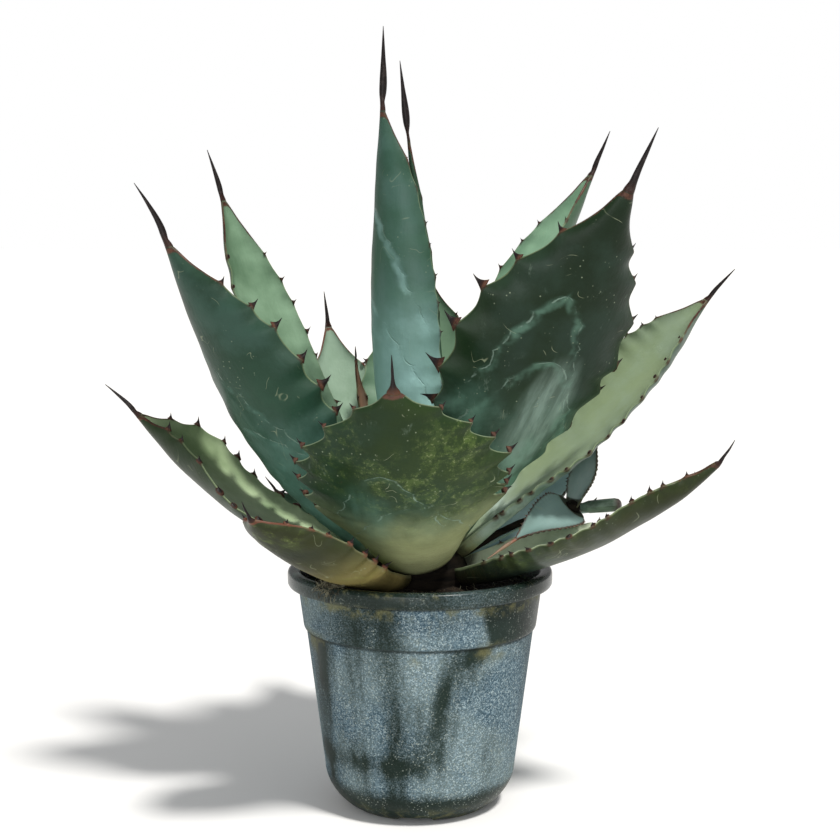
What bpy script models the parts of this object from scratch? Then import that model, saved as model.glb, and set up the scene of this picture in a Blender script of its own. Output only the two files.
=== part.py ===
"""Potted agave: a rosette of toothed, spine-tipped leaves on a short stem, with one offset,
growing in the soil of a round pot.

Metres, +Z up. The origin is the centre of the pot's foot, on the surface it stands on.
Azimuth is measured from +X towards +Y, and rise is measured up from the horizontal."""

import math

import bmesh
import bpy
from mathutils import Vector

TOUCH_GAP = 0.0004      # between pieces that touch in the real plant

# The pot, a thin moulded shell.
POT_HEIGHT = 0.196
POT_WALL = 0.0022
POT_SEGMENTS = 48
LIP_RADIUS = 0.108
LIP_DEPTH = 0.013
COLLAR_TOP_RADIUS = 0.0995
COLLAR_FOOT_RADIUS = 0.0950
COLLAR_DEPTH = 0.047
COLLAR_STEP = 0.0022
SHOULDER_HEIGHT = 0.034
SHOULDER_RADIUS = 0.0782
FOOT_RADIUS = 0.0545
FOOT_RISE = 0.006
FOOT_WIDTH = 0.006
FOOT_PAD_RADIUS = 0.020         # the flat pad under the pot's middle, level with its foot ring
DRAIN_NOTCH_COUNT = 4
DRAIN_NOTCH_WIDTH = 0.028
DRAIN_NOTCH_HEIGHT = 0.0048
DRAIN_NOTCH_AZIMUTH = 266
DRAIN_HOLE_COUNT = 5
DRAIN_HOLE_RADIUS = 0.007
DRAIN_HOLE_RING = 0.033
DRAIN_HOLE_AZIMUTH = 103

# The soil plug, and the short stem that is rooted in it.
SOIL_TOP = 0.181
SOIL_SEGMENTS = 32
STEM_SEGMENTS = 20
STEM_CENTRE = Vector((0.0, 0.0, 0.189))
STEM_RADIUS = 0.040
STEM_FOOT_RADIUS = 0.030
STEM_ROOTED_DEPTH = 0.030

# A leaf's cross section: three points on the upper face, three on the lower, one on each margin.
UPPER_STATIONS = (-0.52, 0.0, 0.52)
LOWER_STATIONS = (0.62, 0.0, -0.62)
MIDRIB_STEPS = 60
LEAF_ROUGHNESS = 0.45

# The offset, a young plant on a runner that leaves the stem between two leaves.
OFFSET_CENTRE = Vector((0.126, 0.026, 0.240))
OFFSET_RADIUS = 0.0075
RUNNER_RADIUS = 0.0030
RUNNER_AZIMUTH = 15
RUNNER_RISE = 23
RUNNER_ARCH = 0.006

LEAF_DEFAULTS = {
    "rise": (60, 70),           # degrees, at the foot and at the end of the blade
    "sway": 0,                  # degrees that the blade turns sideways along its length
    "roll": (0, 0),             # degrees about the midrib, at the foot and at the end
    "length": 0.28,             # the green blade, without its spine
    "width": 0.11,              # measured round the channel
    "neck": 0.45,               # the foot's share of the width
    "widest": 0.55,             # the share of the length where the blade is widest
    "taper": 1.25,              # over 1 draws the end out to a narrow point
    "channel": (42, 24, 62),    # half angle that the section wraps, at foot, middle and end
    "thickness": 0.011,         # at the foot
    "spine": 0.055,
    "spine_turn": (0, 0),       # degrees that the spine bends up, and sideways
    "teeth": 7,                 # on each margin
    "tooth": 0.0045,
    "reach": None,              # distance of the foot from the stem's centre
}

LEAVES = {
    "leaf_centre_tall": dict(
        azimuth=219, rise=(78, 92), roll=(19, -14), length=0.335, width=0.090, neck=0.61,
        widest=0.54, taper=0.72, channel=(70, 63, 80), thickness=0.006, spine=0.066,
        spine_turn=(-2, 0), teeth=7, tooth=0.0015,
        colour=(0.15, 0.28, 0.23)),
    "bud_leaf": dict(
        azimuth=219, rise=(93, 82), length=0.310, width=0.036, neck=0.8, widest=0.30, taper=1.0,
        channel=(95, 95, 110), thickness=0.004, spine=0.064, teeth=5, tooth=0.0008,
        colour=(0.08, 0.15, 0.12)),
    "leaf_front": dict(
        azimuth=264, rise=(27, 65), roll=(3, 5), length=0.210, width=0.157, neck=0.42,
        widest=0.56, taper=0.84, channel=(32, 31, 23), spine=0.030, spine_turn=(6, 0), tooth=0.006,
        colour=(0.07, 0.11, 0.05)),
    "leaf_left_tall": dict(
        azimuth=203, rise=(38, 71), roll=(36, 0), length=0.303, width=0.137, neck=0.40,
        widest=0.62, taper=0.94, channel=(40, 42, 60), spine_turn=(-15, 0),
        colour=(0.07, 0.16, 0.12)),
    "leaf_right_tall": dict(
        azimuth=319, rise=(54, 60), sway=-3, roll=(-20, -30), length=0.329, width=0.143,
        neck=0.27, widest=0.56, taper=1.3, channel=(42, 27, 42), spine=0.052,
        colour=(0.06, 0.11, 0.08)),
    "leaf_left_inner": dict(
        azimuth=157, rise=(48, 74), roll=(8, -19), length=0.316, width=0.084, neck=0.34,
        widest=0.55, taper=0.97, channel=(42, 18, 45), spine=0.046, spine_turn=(-5, 0),
        colour=(0.22, 0.34, 0.24)),
    "leaf_right_inner": dict(
        azimuth=27, rise=(66, 61), roll=(0, -7), length=0.322, width=0.114, neck=0.23,
        widest=0.60, taper=1.3, channel=(42, 30, 66), spine=0.043, spine_turn=(3, 0),
        colour=(0.22, 0.34, 0.26)),
    "leaf_back_right": dict(
        azimuth=87, rise=(54, 66), length=0.233, width=0.114, neck=0.23, taper=1.07,
        channel=(38, 26, 55), spine=0.028,
        colour=(0.18, 0.3, 0.22)),
    "leaf_back_left": dict(
        azimuth=120, rise=(32, 75), length=0.220, width=0.102, neck=0.32, widest=0.52,
        taper=1.2, channel=(38, 26, 50), spine=0.033,
        colour=(0.25, 0.36, 0.3)),
    "leaf_right_low": dict(
        azimuth=4, rise=(39, 50), roll=(11, 24), length=0.283, width=0.094, neck=0.38,
        widest=0.62, taper=0.97, channel=(41, 18, 62), spine=0.035, spine_turn=(-4, 0),
        colour=(0.25, 0.34, 0.22)),
    "leaf_right_under": dict(
        azimuth=36, rise=(16, 46), length=0.170, width=0.076, neck=0.30, thickness=0.009,
        channel=(36, 30, 50), spine=0.024,
        colour=(0.05, 0.08, 0.09)),
    "leaf_right_lowest": dict(
        azimuth=344, rise=(8, 43), roll=(6, -14), length=0.224, width=0.120, neck=0.36,
        widest=0.36, taper=1.35, channel=(48, 22, 68), spine=0.024, spine_turn=(18, 0),
        colour=(0.2, 0.27, 0.17)),
    "leaf_left_lowest": dict(
        azimuth=180, rise=(16, 49), roll=(-2, -7), length=0.226, width=0.112, neck=0.34,
        widest=0.62, taper=1.0, channel=(39, 19, 82), spine=0.038, spine_turn=(-9, 0),
        colour=(0.1, 0.18, 0.1)),
    "leaf_front_left": dict(
        azimuth=231, rise=(6, 41), roll=(-9, 3), length=0.171, width=0.097, neck=0.48,
        widest=0.63, taper=0.69, channel=(42, 40, 38), spine=0.018, spine_turn=(23, 0),
        colour=(0.13, 0.15, 0.07)),
    "leaf_dried": dict(
        azimuth=136, rise=(54, 86), length=0.150, width=0.024, neck=0.7, widest=0.4, taper=0.9,
        channel=(60, 70, 80), thickness=0.002, spine=0.012, teeth=5, tooth=0.0012,
        colour=(0.3, 0.16, 0.1)),
    "leaf_back_low_left": dict(
        azimuth=142, rise=(6, 40), length=0.130, width=0.060, neck=0.36, thickness=0.009,
        taper=0.9, spine=0.018, teeth=6,
        colour=(0.14, 0.22, 0.17)),
    "leaf_back_low": dict(
        azimuth=102, rise=(9, 30), length=0.24, width=0.090, neck=0.30,
        colour=(0.14, 0.22, 0.17)),
    "leaf_back_low_right": dict(
        azimuth=74, rise=(26, 40), length=0.24, width=0.096, neck=0.26,
        colour=(0.14, 0.22, 0.17)),
}

OFFSET_LEAVES = {
    "offset_leaf_drooping": dict(
        azimuth=250, rise=(5, -27), sway=-40, roll=(-40, -15), length=0.078, width=0.040, neck=0.72,
        widest=0.22, taper=1.0, channel=(24, 12, 30), thickness=0.003, spine=0.030,
        colour=(0.27, 0.4, 0.42)),
    "offset_leaf_upright": dict(
        azimuth=40, rise=(60, 70), length=0.055, width=0.030, neck=0.6, widest=0.35, taper=1.0,
        channel=(30, 20, 40), thickness=0.003, spine=0.009,
        colour=(0.3, 0.38, 0.38)),
    "offset_leaf_back": dict(
        azimuth=66, rise=(-16, 14), length=0.050, width=0.030, neck=0.6, widest=0.35, taper=1.0,
        channel=(30, 20, 40), thickness=0.003, spine=0.010,
        colour=(0.27, 0.4, 0.42)),
}
OFFSET_LEAF_DEFAULTS = {"teeth": 8, "tooth": 0.0011, "centre": OFFSET_CENTRE, "reach": OFFSET_RADIUS}

# The offset's newest leaf, still rolled into a rod with a blunt dry end.
ROLLED_LEAF_AZIMUTH = 338
ROLLED_LEAF_RISE = 8
ROLLED_LEAF_LENGTH = 0.034
ROLLED_LEAF_RADIUS = 0.0056


def clear_scene():
    for obj in list(bpy.data.objects):
        bpy.data.objects.remove(obj, do_unlink=True)


def plain_material(name, colour, roughness):
    material = bpy.data.materials.new(name)
    material.use_nodes = True
    shader = material.node_tree.nodes["Principled BSDF"]
    shader.inputs["Base Color"].default_value = (*colour, 1.0)
    shader.inputs["Roughness"].default_value = roughness
    shader.inputs["Metallic"].default_value = 0.0
    return material


def blend3(values, share):
    """A smooth run through values at the foot, the middle and the end."""
    first, middle, last = values
    if share < 0.5:
        low, high, t = first, middle, share / 0.5
    else:
        low, high, t = middle, last, (share - 0.5) / 0.5
    t = t * t * (3 - 2 * t)
    return low + (high - low) * t


def object_from(bm, name, material, sharp_angle=35):
    bmesh.ops.recalc_face_normals(bm, faces=bm.faces)
    mesh = bpy.data.meshes.new(name)
    bm.to_mesh(mesh)
    bm.free()
    mesh.materials.append(material)
    mesh.shade_smooth()
    mesh.set_sharp_from_angle(angle=math.radians(sharp_angle))
    obj = bpy.data.objects.new(name, mesh)
    bpy.context.scene.collection.objects.link(obj)
    return obj


def turned_solid(name, profile, segments, material):
    """A closed solid of revolution from (radius, height) points; points at radius 0 become poles."""
    bm = bmesh.new()
    rings = []
    for radius, height in profile:
        if radius == 0:
            rings.append([bm.verts.new((0, 0, height))])
            continue
        ring = []
        for k in range(segments):
            angle = 2 * math.pi * k / segments
            ring.append(bm.verts.new((radius * math.cos(angle), radius * math.sin(angle), height)))
        rings.append(ring)
    for low, high in zip(rings, rings[1:]):
        skin_between(bm, low, high)
    if len(rings[0]) > 1 and len(rings[-1]) > 1:
        skin_between(bm, rings[-1], rings[0])
    return object_from(bm, name, material)


def skin_between(bm, low, high):
    """Faces between two rings, or between a ring and a pole."""
    count = max(len(low), len(high))
    for k in range(count):
        a, b = low[k % len(low)], low[(k + 1) % len(low)]
        c, d = high[(k + 1) % len(high)], high[k % len(high)]
        corners = [a]
        for v in (b, c, d):
            if v not in corners:
                corners.append(v)
        bm.faces.new(corners)


# ---------------------------------------------------------------- leaves

def direction(azimuth, rise):
    a, r = math.radians(azimuth), math.radians(rise)
    return Vector((math.cos(r) * math.cos(a), math.cos(r) * math.sin(a), math.sin(r)))


def leaf_axes(leaf, share):
    """(along, across, up) at a share of the blade's length; up is the side that faces the stem."""
    rise = leaf["rise"][0] + (leaf["rise"][1] - leaf["rise"][0]) * share
    azimuth = leaf["azimuth"] + leaf["sway"] * share
    roll = math.radians(leaf["roll"][0] + (leaf["roll"][1] - leaf["roll"][0]) * share)
    along = direction(azimuth, rise)
    flat = math.radians(azimuth)
    level = Vector((-math.sin(flat), math.cos(flat), 0))
    up = along.cross(level)
    across = level * math.cos(roll) + up * math.sin(roll)
    return along, across, along.cross(across)


def midrib_point(leaf, share):
    """The midrib, from the foot outwards, as the sum of short straight steps."""
    reach = STEM_RADIUS if leaf["reach"] is None else leaf["reach"]
    point = leaf["centre"] + leaf_axes(leaf, 0)[0] * (reach + TOUCH_GAP)
    steps = max(1, round(MIDRIB_STEPS * share))
    for k in range(steps):
        middle = share * (k + 0.5) / steps
        point = point + leaf_axes(leaf, middle)[0] * (leaf["length"] * share / steps)
    return point


def half_width(leaf, share):
    """Half the blade's width, measured round the channel."""
    neck, widest = leaf["neck"], leaf["widest"]
    if share < widest:
        swell = math.sin(math.pi / 2 * share / widest) ** 1.3
        return leaf["width"] / 2 * (neck + (1 - neck) * swell)
    fall = math.cos(math.pi / 2 * min(0.9999, (share - widest) / (1 - widest))) ** leaf["taper"]
    return leaf["width"] / 2 * (fall + 0.055 * (1 - fall))


def section(leaf, share, tooth=0.0):
    """The eight points of a cross section, as a closed ring that starts at one margin."""
    centre = midrib_point(leaf, share)
    along, across, up = leaf_axes(leaf, share)
    wrap = math.radians(blend3(leaf["channel"], share))
    half = half_width(leaf, share)
    bend = half / wrap
    thick = leaf["thickness"] * (1 - 0.66 * share)
    thick = min(thick, half * 0.9)

    def skin(station, depth):
        turn = station * wrap
        lean = across * math.sin(turn) - up * math.cos(turn)
        return centre + up * bend + lean * (bend + depth)

    def margin(side):
        edge = skin(side, 0.0)
        turn = side * wrap
        outward = (across * math.cos(turn) + up * math.sin(turn)) * side
        return edge + outward * tooth

    ring = [margin(-1)]
    ring += [skin(t, 0.0) for t in UPPER_STATIONS]
    ring += [margin(1)]
    ring += [skin(t, thick * (1 - t * t) ** 0.6) for t in LOWER_STATIONS]
    return ring


def tooth_shares(leaf):
    """(valley, tooth) shares of the length, denser towards the foot as on the real margin."""
    first, last = 0.17, 0.87
    pairs = []
    for k in range(leaf["teeth"]):
        valley = first + (last - first) * (k / leaf["teeth"]) ** 0.92
        after = first + (last - first) * ((k + 1) / leaf["teeth"]) ** 0.92
        pairs.append((valley, valley + 0.62 * (after - valley)))
    return pairs, last


def spine_rings(leaf):
    """Two rings along the spine and its point, past the end of the blade."""
    end = midrib_point(leaf, 1.0)
    up_turn, side_turn = leaf["spine_turn"]
    bent = dict(leaf)
    rings, centre = [], end
    shares = (0.30, 0.68, 1.0)
    done = 0.0
    for share in shares:
        rise = leaf["rise"][1] + up_turn * share
        azimuth = leaf["azimuth"] + leaf["sway"] + side_turn * share
        bent.update(rise=(rise, rise), azimuth=azimuth, sway=0)
        along, across, up = leaf_axes(bent, 1.0)
        centre = centre + along * leaf["spine"] * (share - done)
        done = share
        if share == 1.0:
            return rings, centre
        radius = 0.055 * leaf["spine"] * (1 - share) + 0.0004
        ring = []
        for k in range(8):
            angle = math.pi + 2 * math.pi * k / 8
            ring.append(centre + across * radius * math.cos(angle) - up * radius * math.sin(angle))
        rings.append(ring)


def leaf_solid(name, spec):
    """One leaf with its toothed margins and its terminal spine, as one closed solid."""
    leaf = {**LEAF_DEFAULTS, "centre": STEM_CENTRE, **spec}
    material = plain_material(name + "_skin", leaf["colour"], LEAF_ROUGHNESS)
    pairs, last_valley = tooth_shares(leaf)
    rings = [section(leaf, 0.0), section(leaf, 0.09)]
    for k, (valley, tooth) in enumerate(pairs):
        swell = math.sin(math.pi * (k + 1) / (leaf["teeth"] + 1)) ** 0.5
        rings.append(section(leaf, valley))
        rings.append(section(leaf, tooth, leaf["tooth"] * swell))
    rings.append(section(leaf, last_valley))
    rings.append(section(leaf, 1.0))
    spine, tip = spine_rings(leaf)
    bm = bmesh.new()
    placed = [[bm.verts.new(p) for p in ring] for ring in rings + spine]
    for low, high in zip(placed, placed[1:]):
        skin_between(bm, low, high)
    skin_between(bm, placed[-1], [bm.verts.new(tip)])
    bm.faces.new(list(reversed(placed[0])))
    return object_from(bm, name, material)


# ---------------------------------------------------------------- pot, soil and stem

def pot_outline():
    """(radius, height) points of the shell, round the outside from the foot and back down inside."""
    collar_foot = POT_HEIGHT - COLLAR_DEPTH
    outside = [(FOOT_RADIUS - FOOT_WIDTH, 0.0), (FOOT_RADIUS, 0.0)]
    for step in (0.25, 0.5, 0.75, 1.0):
        angle = math.pi / 2 * step
        outside.append((
            FOOT_RADIUS + (SHOULDER_RADIUS - FOOT_RADIUS) * math.sin(angle) ** 1.1,
            SHOULDER_HEIGHT * (1 - math.cos(angle)) ** 0.75))
    body_top = COLLAR_FOOT_RADIUS - COLLAR_STEP
    outside += [
        (body_top, collar_foot - COLLAR_STEP),
        (COLLAR_FOOT_RADIUS, collar_foot),
        (COLLAR_TOP_RADIUS, POT_HEIGHT - LIP_DEPTH),
        (LIP_RADIUS - 0.0015, POT_HEIGHT - LIP_DEPTH),
        (LIP_RADIUS, POT_HEIGHT - LIP_DEPTH + 0.002),
        (LIP_RADIUS, POT_HEIGHT - 0.003),
        (LIP_RADIUS - 0.0025, POT_HEIGHT),
        (COLLAR_TOP_RADIUS + 0.001, POT_HEIGHT),
        (COLLAR_TOP_RADIUS - POT_WALL, POT_HEIGHT - 0.003),
    ]
    inside = [
        (COLLAR_FOOT_RADIUS - POT_WALL - COLLAR_STEP, collar_foot),
        (SHOULDER_RADIUS - POT_WALL, SHOULDER_HEIGHT),
        (FOOT_RADIUS + 0.0115, FOOT_RISE + 0.010),
        (FOOT_RADIUS + 0.002, FOOT_RISE + POT_WALL),
        (0, FOOT_RISE + POT_WALL),
    ]
    underside = [
        (0, 0.0),
        (FOOT_PAD_RADIUS, 0.0),
        (FOOT_PAD_RADIUS + 0.0015, FOOT_RISE),
        (FOOT_RADIUS - FOOT_WIDTH - 0.001, FOOT_RISE),
    ]
    return underside + outside + inside


def cutter_box(name, size, centre, azimuth):
    bm = bmesh.new()
    bmesh.ops.create_cube(bm, size=1.0)
    mesh = bpy.data.meshes.new(name)
    bmesh.ops.scale(bm, vec=size, verts=bm.verts)
    bm.to_mesh(mesh)
    bm.free()
    return place_cutter(name, mesh, centre, azimuth)


def cutter_rod(name, radius, depth, centre):
    bm = bmesh.new()
    bmesh.ops.create_cone(
        bm, cap_ends=True, segments=16, radius1=radius, radius2=radius, depth=depth)
    mesh = bpy.data.meshes.new(name)
    bm.to_mesh(mesh)
    bm.free()
    return place_cutter(name, mesh, centre, 0)


def place_cutter(name, mesh, centre, azimuth):
    cutter = bpy.data.objects.new(name, mesh)
    cutter.location = centre
    cutter.rotation_euler.z = math.radians(azimuth)
    cutter.hide_render = True
    cutter.display_type = "WIRE"
    bpy.context.scene.collection.objects.link(cutter)
    return cutter


def cut(obj, cutter):
    modifier = obj.modifiers.new(cutter.name, "BOOLEAN")
    modifier.operation = "DIFFERENCE"
    modifier.solver = "EXACT"
    modifier.object = cutter


def build_pot():
    plastic = plain_material("black_plastic", (0.06, 0.075, 0.08), 0.5)
    pot = turned_solid("pot", pot_outline(), POT_SEGMENTS, plastic)
    for k in range(DRAIN_NOTCH_COUNT):
        azimuth = DRAIN_NOTCH_AZIMUTH + 360 * k / DRAIN_NOTCH_COUNT
        centre = direction(azimuth, 0) * FOOT_RADIUS
        size = (0.03, DRAIN_NOTCH_WIDTH, 2 * DRAIN_NOTCH_HEIGHT)
        cut(pot, cutter_box(f"drain_notch_cutter_{k + 1}", size, centre, azimuth))
    for k in range(DRAIN_HOLE_COUNT):
        centre = direction(DRAIN_HOLE_AZIMUTH + 360 * k / DRAIN_HOLE_COUNT, 0) * DRAIN_HOLE_RING
        centre.z = FOOT_RISE
        cut(pot, cutter_rod(f"drain_hole_cutter_{k + 1}", DRAIN_HOLE_RADIUS, 0.02, centre))


def build_soil():
    earth = plain_material("potting_soil", (0.03, 0.025, 0.02), 0.95)
    inner_foot = FOOT_RISE + POT_WALL + TOUCH_GAP
    profile = [
        (0, inner_foot),
        (FOOT_RADIUS, inner_foot),
        (FOOT_RADIUS + 0.0095, FOOT_RISE + 0.011),
        (SHOULDER_RADIUS - POT_WALL - 0.001, SHOULDER_HEIGHT + 0.001),
        (COLLAR_FOOT_RADIUS - POT_WALL - COLLAR_STEP - 0.001, POT_HEIGHT - COLLAR_DEPTH),
        (COLLAR_TOP_RADIUS - POT_WALL - 0.0042, SOIL_TOP - 0.003),
        (0.075, SOIL_TOP),
        (STEM_RADIUS + TOUCH_GAP, SOIL_TOP),
        (STEM_FOOT_RADIUS + TOUCH_GAP, SOIL_TOP - STEM_ROOTED_DEPTH - TOUCH_GAP),
        (0, SOIL_TOP - STEM_ROOTED_DEPTH - TOUCH_GAP),
    ]
    turned_solid("soil_and_roots", profile, SOIL_SEGMENTS, earth)


def build_stem():
    bark = plain_material("stem_tissue", (0.36, 0.34, 0.20), 0.8)
    profile = [
        (0, SOIL_TOP - STEM_ROOTED_DEPTH),
        (STEM_FOOT_RADIUS, SOIL_TOP - STEM_ROOTED_DEPTH),
        (STEM_RADIUS * 0.97, SOIL_TOP),
    ]
    for rise in (12, 30, 48, 66):
        angle = math.radians(rise)
        profile.append((
            (STEM_RADIUS - TOUCH_GAP) * math.cos(angle),
            STEM_CENTRE.z + (STEM_RADIUS - TOUCH_GAP) * math.sin(angle)))
    profile.append((0, STEM_CENTRE.z + STEM_RADIUS - TOUCH_GAP))
    turned_solid("stem", profile, STEM_SEGMENTS, bark)


def build_leaves():
    for name, spec in LEAVES.items():
        leaf_solid(name, spec)


def tube_solid(name, stations, segments, material):
    """A round solid through (centre, radius) stations, closed flat at both ends."""
    bm = bmesh.new()
    rings = []
    for k, (centre, radius) in enumerate(stations):
        before = stations[max(k - 1, 0)][0]
        after = stations[min(k + 1, len(stations) - 1)][0]
        along = (after - before).normalized()
        across = along.cross(Vector((0, 0, 1))).normalized()
        up = across.cross(along)
        ring = []
        for n in range(segments):
            angle = 2 * math.pi * n / segments
            point = centre + (across * math.cos(angle) + up * math.sin(angle)) * radius
            ring.append(bm.verts.new(point))
        rings.append(ring)
    for low, high in zip(rings, rings[1:]):
        skin_between(bm, low, high)
    bm.faces.new(rings[0])
    bm.faces.new(list(reversed(rings[-1])))
    return object_from(bm, name, material, sharp_angle=50)


def build_offset():
    """The runner with the young plant's heart at its end, and the young plant's leaves."""
    bark = plain_material("runner_bark", (0.30, 0.30, 0.20), 0.7)
    rolled = plain_material("rolled_leaf_skin", (0.04, 0.06, 0.03), 0.5)
    foot = STEM_CENTRE + direction(RUNNER_AZIMUTH, RUNNER_RISE) * (STEM_RADIUS + TOUCH_GAP)
    run = OFFSET_CENTRE - foot
    stations = []
    for share in (0.0, 0.15, 0.32, 0.5, 0.68, 0.8):
        arch = Vector((0, 0, RUNNER_ARCH * math.sin(math.pi * share)))
        stations.append((foot + run * share + arch, RUNNER_RADIUS))
    heart = run.normalized() * OFFSET_RADIUS
    for share in (-0.85, -0.4, 0.0, 0.5, 0.9):
        radius = OFFSET_RADIUS * math.sqrt(1 - share * share) - TOUCH_GAP
        stations.append((OFFSET_CENTRE + heart * share, radius))
    tube_solid("offset_runner", stations, 12, bark)
    for name, spec in OFFSET_LEAVES.items():
        leaf_solid(name, {**OFFSET_LEAF_DEFAULTS, **spec})
    along = direction(ROLLED_LEAF_AZIMUTH, ROLLED_LEAF_RISE)
    start = OFFSET_CENTRE + along * (OFFSET_RADIUS + 2 * TOUCH_GAP)
    rod = [(start, 0.6 * ROLLED_LEAF_RADIUS)]
    for share, swell in ((0.2, 0.95), (0.6, 1.0), (0.86, 1.0), (0.95, 0.86), (1.0, 0.5)):
        rod.append((start + along * ROLLED_LEAF_LENGTH * share, ROLLED_LEAF_RADIUS * swell))
    tube_solid("offset_leaf_rolled", rod, 12, rolled)


def main():
    clear_scene()
    build_pot()
    build_soil()
    build_stem()
    build_leaves()
    build_offset()


main()
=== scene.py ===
import math

import bmesh
import bpy
import numpy as np
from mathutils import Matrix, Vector, noise


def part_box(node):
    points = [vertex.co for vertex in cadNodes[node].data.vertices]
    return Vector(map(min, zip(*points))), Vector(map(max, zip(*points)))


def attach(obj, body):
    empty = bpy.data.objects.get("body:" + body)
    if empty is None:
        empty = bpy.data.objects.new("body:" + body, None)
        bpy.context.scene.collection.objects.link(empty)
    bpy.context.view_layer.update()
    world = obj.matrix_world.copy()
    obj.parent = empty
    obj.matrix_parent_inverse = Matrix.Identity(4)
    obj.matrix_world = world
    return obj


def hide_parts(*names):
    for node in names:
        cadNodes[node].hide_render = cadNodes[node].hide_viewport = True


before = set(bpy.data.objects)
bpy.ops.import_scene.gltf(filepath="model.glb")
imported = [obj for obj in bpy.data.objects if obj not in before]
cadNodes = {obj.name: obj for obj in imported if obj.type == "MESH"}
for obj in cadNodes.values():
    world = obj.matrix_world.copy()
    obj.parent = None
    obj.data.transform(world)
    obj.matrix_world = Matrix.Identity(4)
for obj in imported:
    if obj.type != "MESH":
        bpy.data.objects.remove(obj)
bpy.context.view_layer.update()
mm = 0.001


# ---- shader wiring: sockets as values, so that masks read as sums and products

class Wire:
    def __init__(self, look, socket):
        self.look, self.socket = look, socket

    def math(self, operation, *others, clamp=False):
        values = {k: v for k, v in enumerate((self, *others))}
        return self.look.add("ShaderNodeMath", {"operation": operation, "use_clamp": clamp}, values)

    def __rsub__(self, other):
        return self.look.value(other).math("SUBTRACT", self)

    def clip(self):
        return self.math("ADD", 0.0, clamp=True)

    def rise(self, low, high):  # 0 below low, 1 above high, smooth between; low may be the larger
        return self.look.add("ShaderNodeMapRange", {"interpolation_type": "SMOOTHSTEP"},
                             {"Value": self, "From Min": low, "From Max": high})

    def near(self, centre, low, high):  # 1 within low of the centre, 0 beyond high
        return 1 - abs(self - centre).rise(low, high)

    def parts(self):
        node = self.look.place("ShaderNodeSeparateXYZ", {}, {0: self})
        return [Wire(self.look, output) for output in node.outputs]


operations = {
    "__add__": "ADD", "__radd__": "ADD", "__sub__": "SUBTRACT", "__mul__": "MULTIPLY", "__rmul__": "MULTIPLY",
    "__truediv__": "DIVIDE", "__pow__": "POWER", "__abs__": "ABSOLUTE", "least": "MINIMUM", "most": "MAXIMUM",
}
for method, operation in operations.items():
    setattr(Wire, method, lambda self, *others, operation=operation: self.math(operation, *others))


class Look:
    def __init__(self, name):
        self.material = bpy.data.materials.new(name)
        self.material.use_nodes = True
        self.tree = self.material.node_tree
        self.shader = self.tree.nodes["Principled BSDF"]

    def place(self, kind, settings, sockets):
        node = self.tree.nodes.new(kind)
        for key, setting in settings.items():
            setattr(node, key, setting)
        for key, held in sockets.items():
            if isinstance(held, Wire):
                self.tree.links.new(held.socket, node.inputs[key])
            else:
                node.inputs[key].default_value = held
        return node

    def add(self, kind, settings=None, sockets=None, output=0):
        return Wire(self, self.place(kind, settings or {}, sockets or {}).outputs[output])

    def value(self, number):
        node = self.place("ShaderNodeValue", {}, {})
        node.outputs[0].default_value = number
        return Wire(self, node.outputs[0])

    def here(self):  # the object's own coordinates, in metres
        return self.add("ShaderNodeTexCoord", output="Object")

    def vector(self, x, y, z):
        return self.add("ShaderNodeCombineXYZ", {}, {0: x, 1: y, 2: z})

    def noise(self, where, scale, detail=3.0, rough=0.55, twist=0.0):
        return self.add("ShaderNodeTexNoise", {}, {
            "Vector": where, "Scale": scale, "Detail": detail, "Roughness": rough, "Distortion": twist})

    def cells(self, where, scale, output="Distance"):
        return self.add("ShaderNodeTexVoronoi", {}, {"Vector": where, "Scale": scale}, output)

    def stretch(self, where, x, y, z):
        return self.add("ShaderNodeVectorMath", {"operation": "MULTIPLY"}, {0: where, 1: (x, y, z)})

    def blend(self, share, first, second):  # colours
        first, second = (held if isinstance(held, Wire) else (*held, 1.0) for held in (first, second))
        return self.add("ShaderNodeMix", {"data_type": "RGBA", "clamp_factor": True}, {
            "Factor": share, 6: first, 7: second}, 2)

    def coat(self, share, tone):  # over the skin so far
        self.skin = self.blend(share, self.skin, tone)

    def feed(self, name, held):
        self.tree.links.new(held.socket, self.shader.inputs[name])

    def keep(self, **constants):
        for name, number in constants.items():
            self.shader.inputs[name.replace("_", " ")].default_value = number

    def finish(self, height, depth, strength, **constants):
        self.feed("Base Color", self.skin)
        bump = self.add("ShaderNodeBump", {}, {"Height": height, "Distance": depth, "Strength": strength})
        self.feed("Normal", bump)
        self.keep(**constants)
        return self.material


def newBody(name, data):
    body = bpy.data.objects.new(name, data)
    bpy.context.scene.collection.objects.link(body)
    return body


# ---- camera, floor and light

stageSizes = {
    "cameraPlace": (0.0, -1.4, 0.475), "cameraPitch": -6.45, "cameraLens": 74.5,
    "floorHalf": 30.0, "floorTone": 0.93, "fillLight": 0.40,
    "sunTurn": -50, "sunHeight": 60, "sunSpread": 9, "sunPower": 3.0, "sunTone": (1.0, 0.975, 0.93),
    "frontPlace": (-0.5, -2.3, 0.35), "frontAim": (0, 0, 0.25), "frontSize": 1.4, "frontPower": 25.0,
    "frontTone": (0.95, 0.98, 1.0),
}


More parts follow.
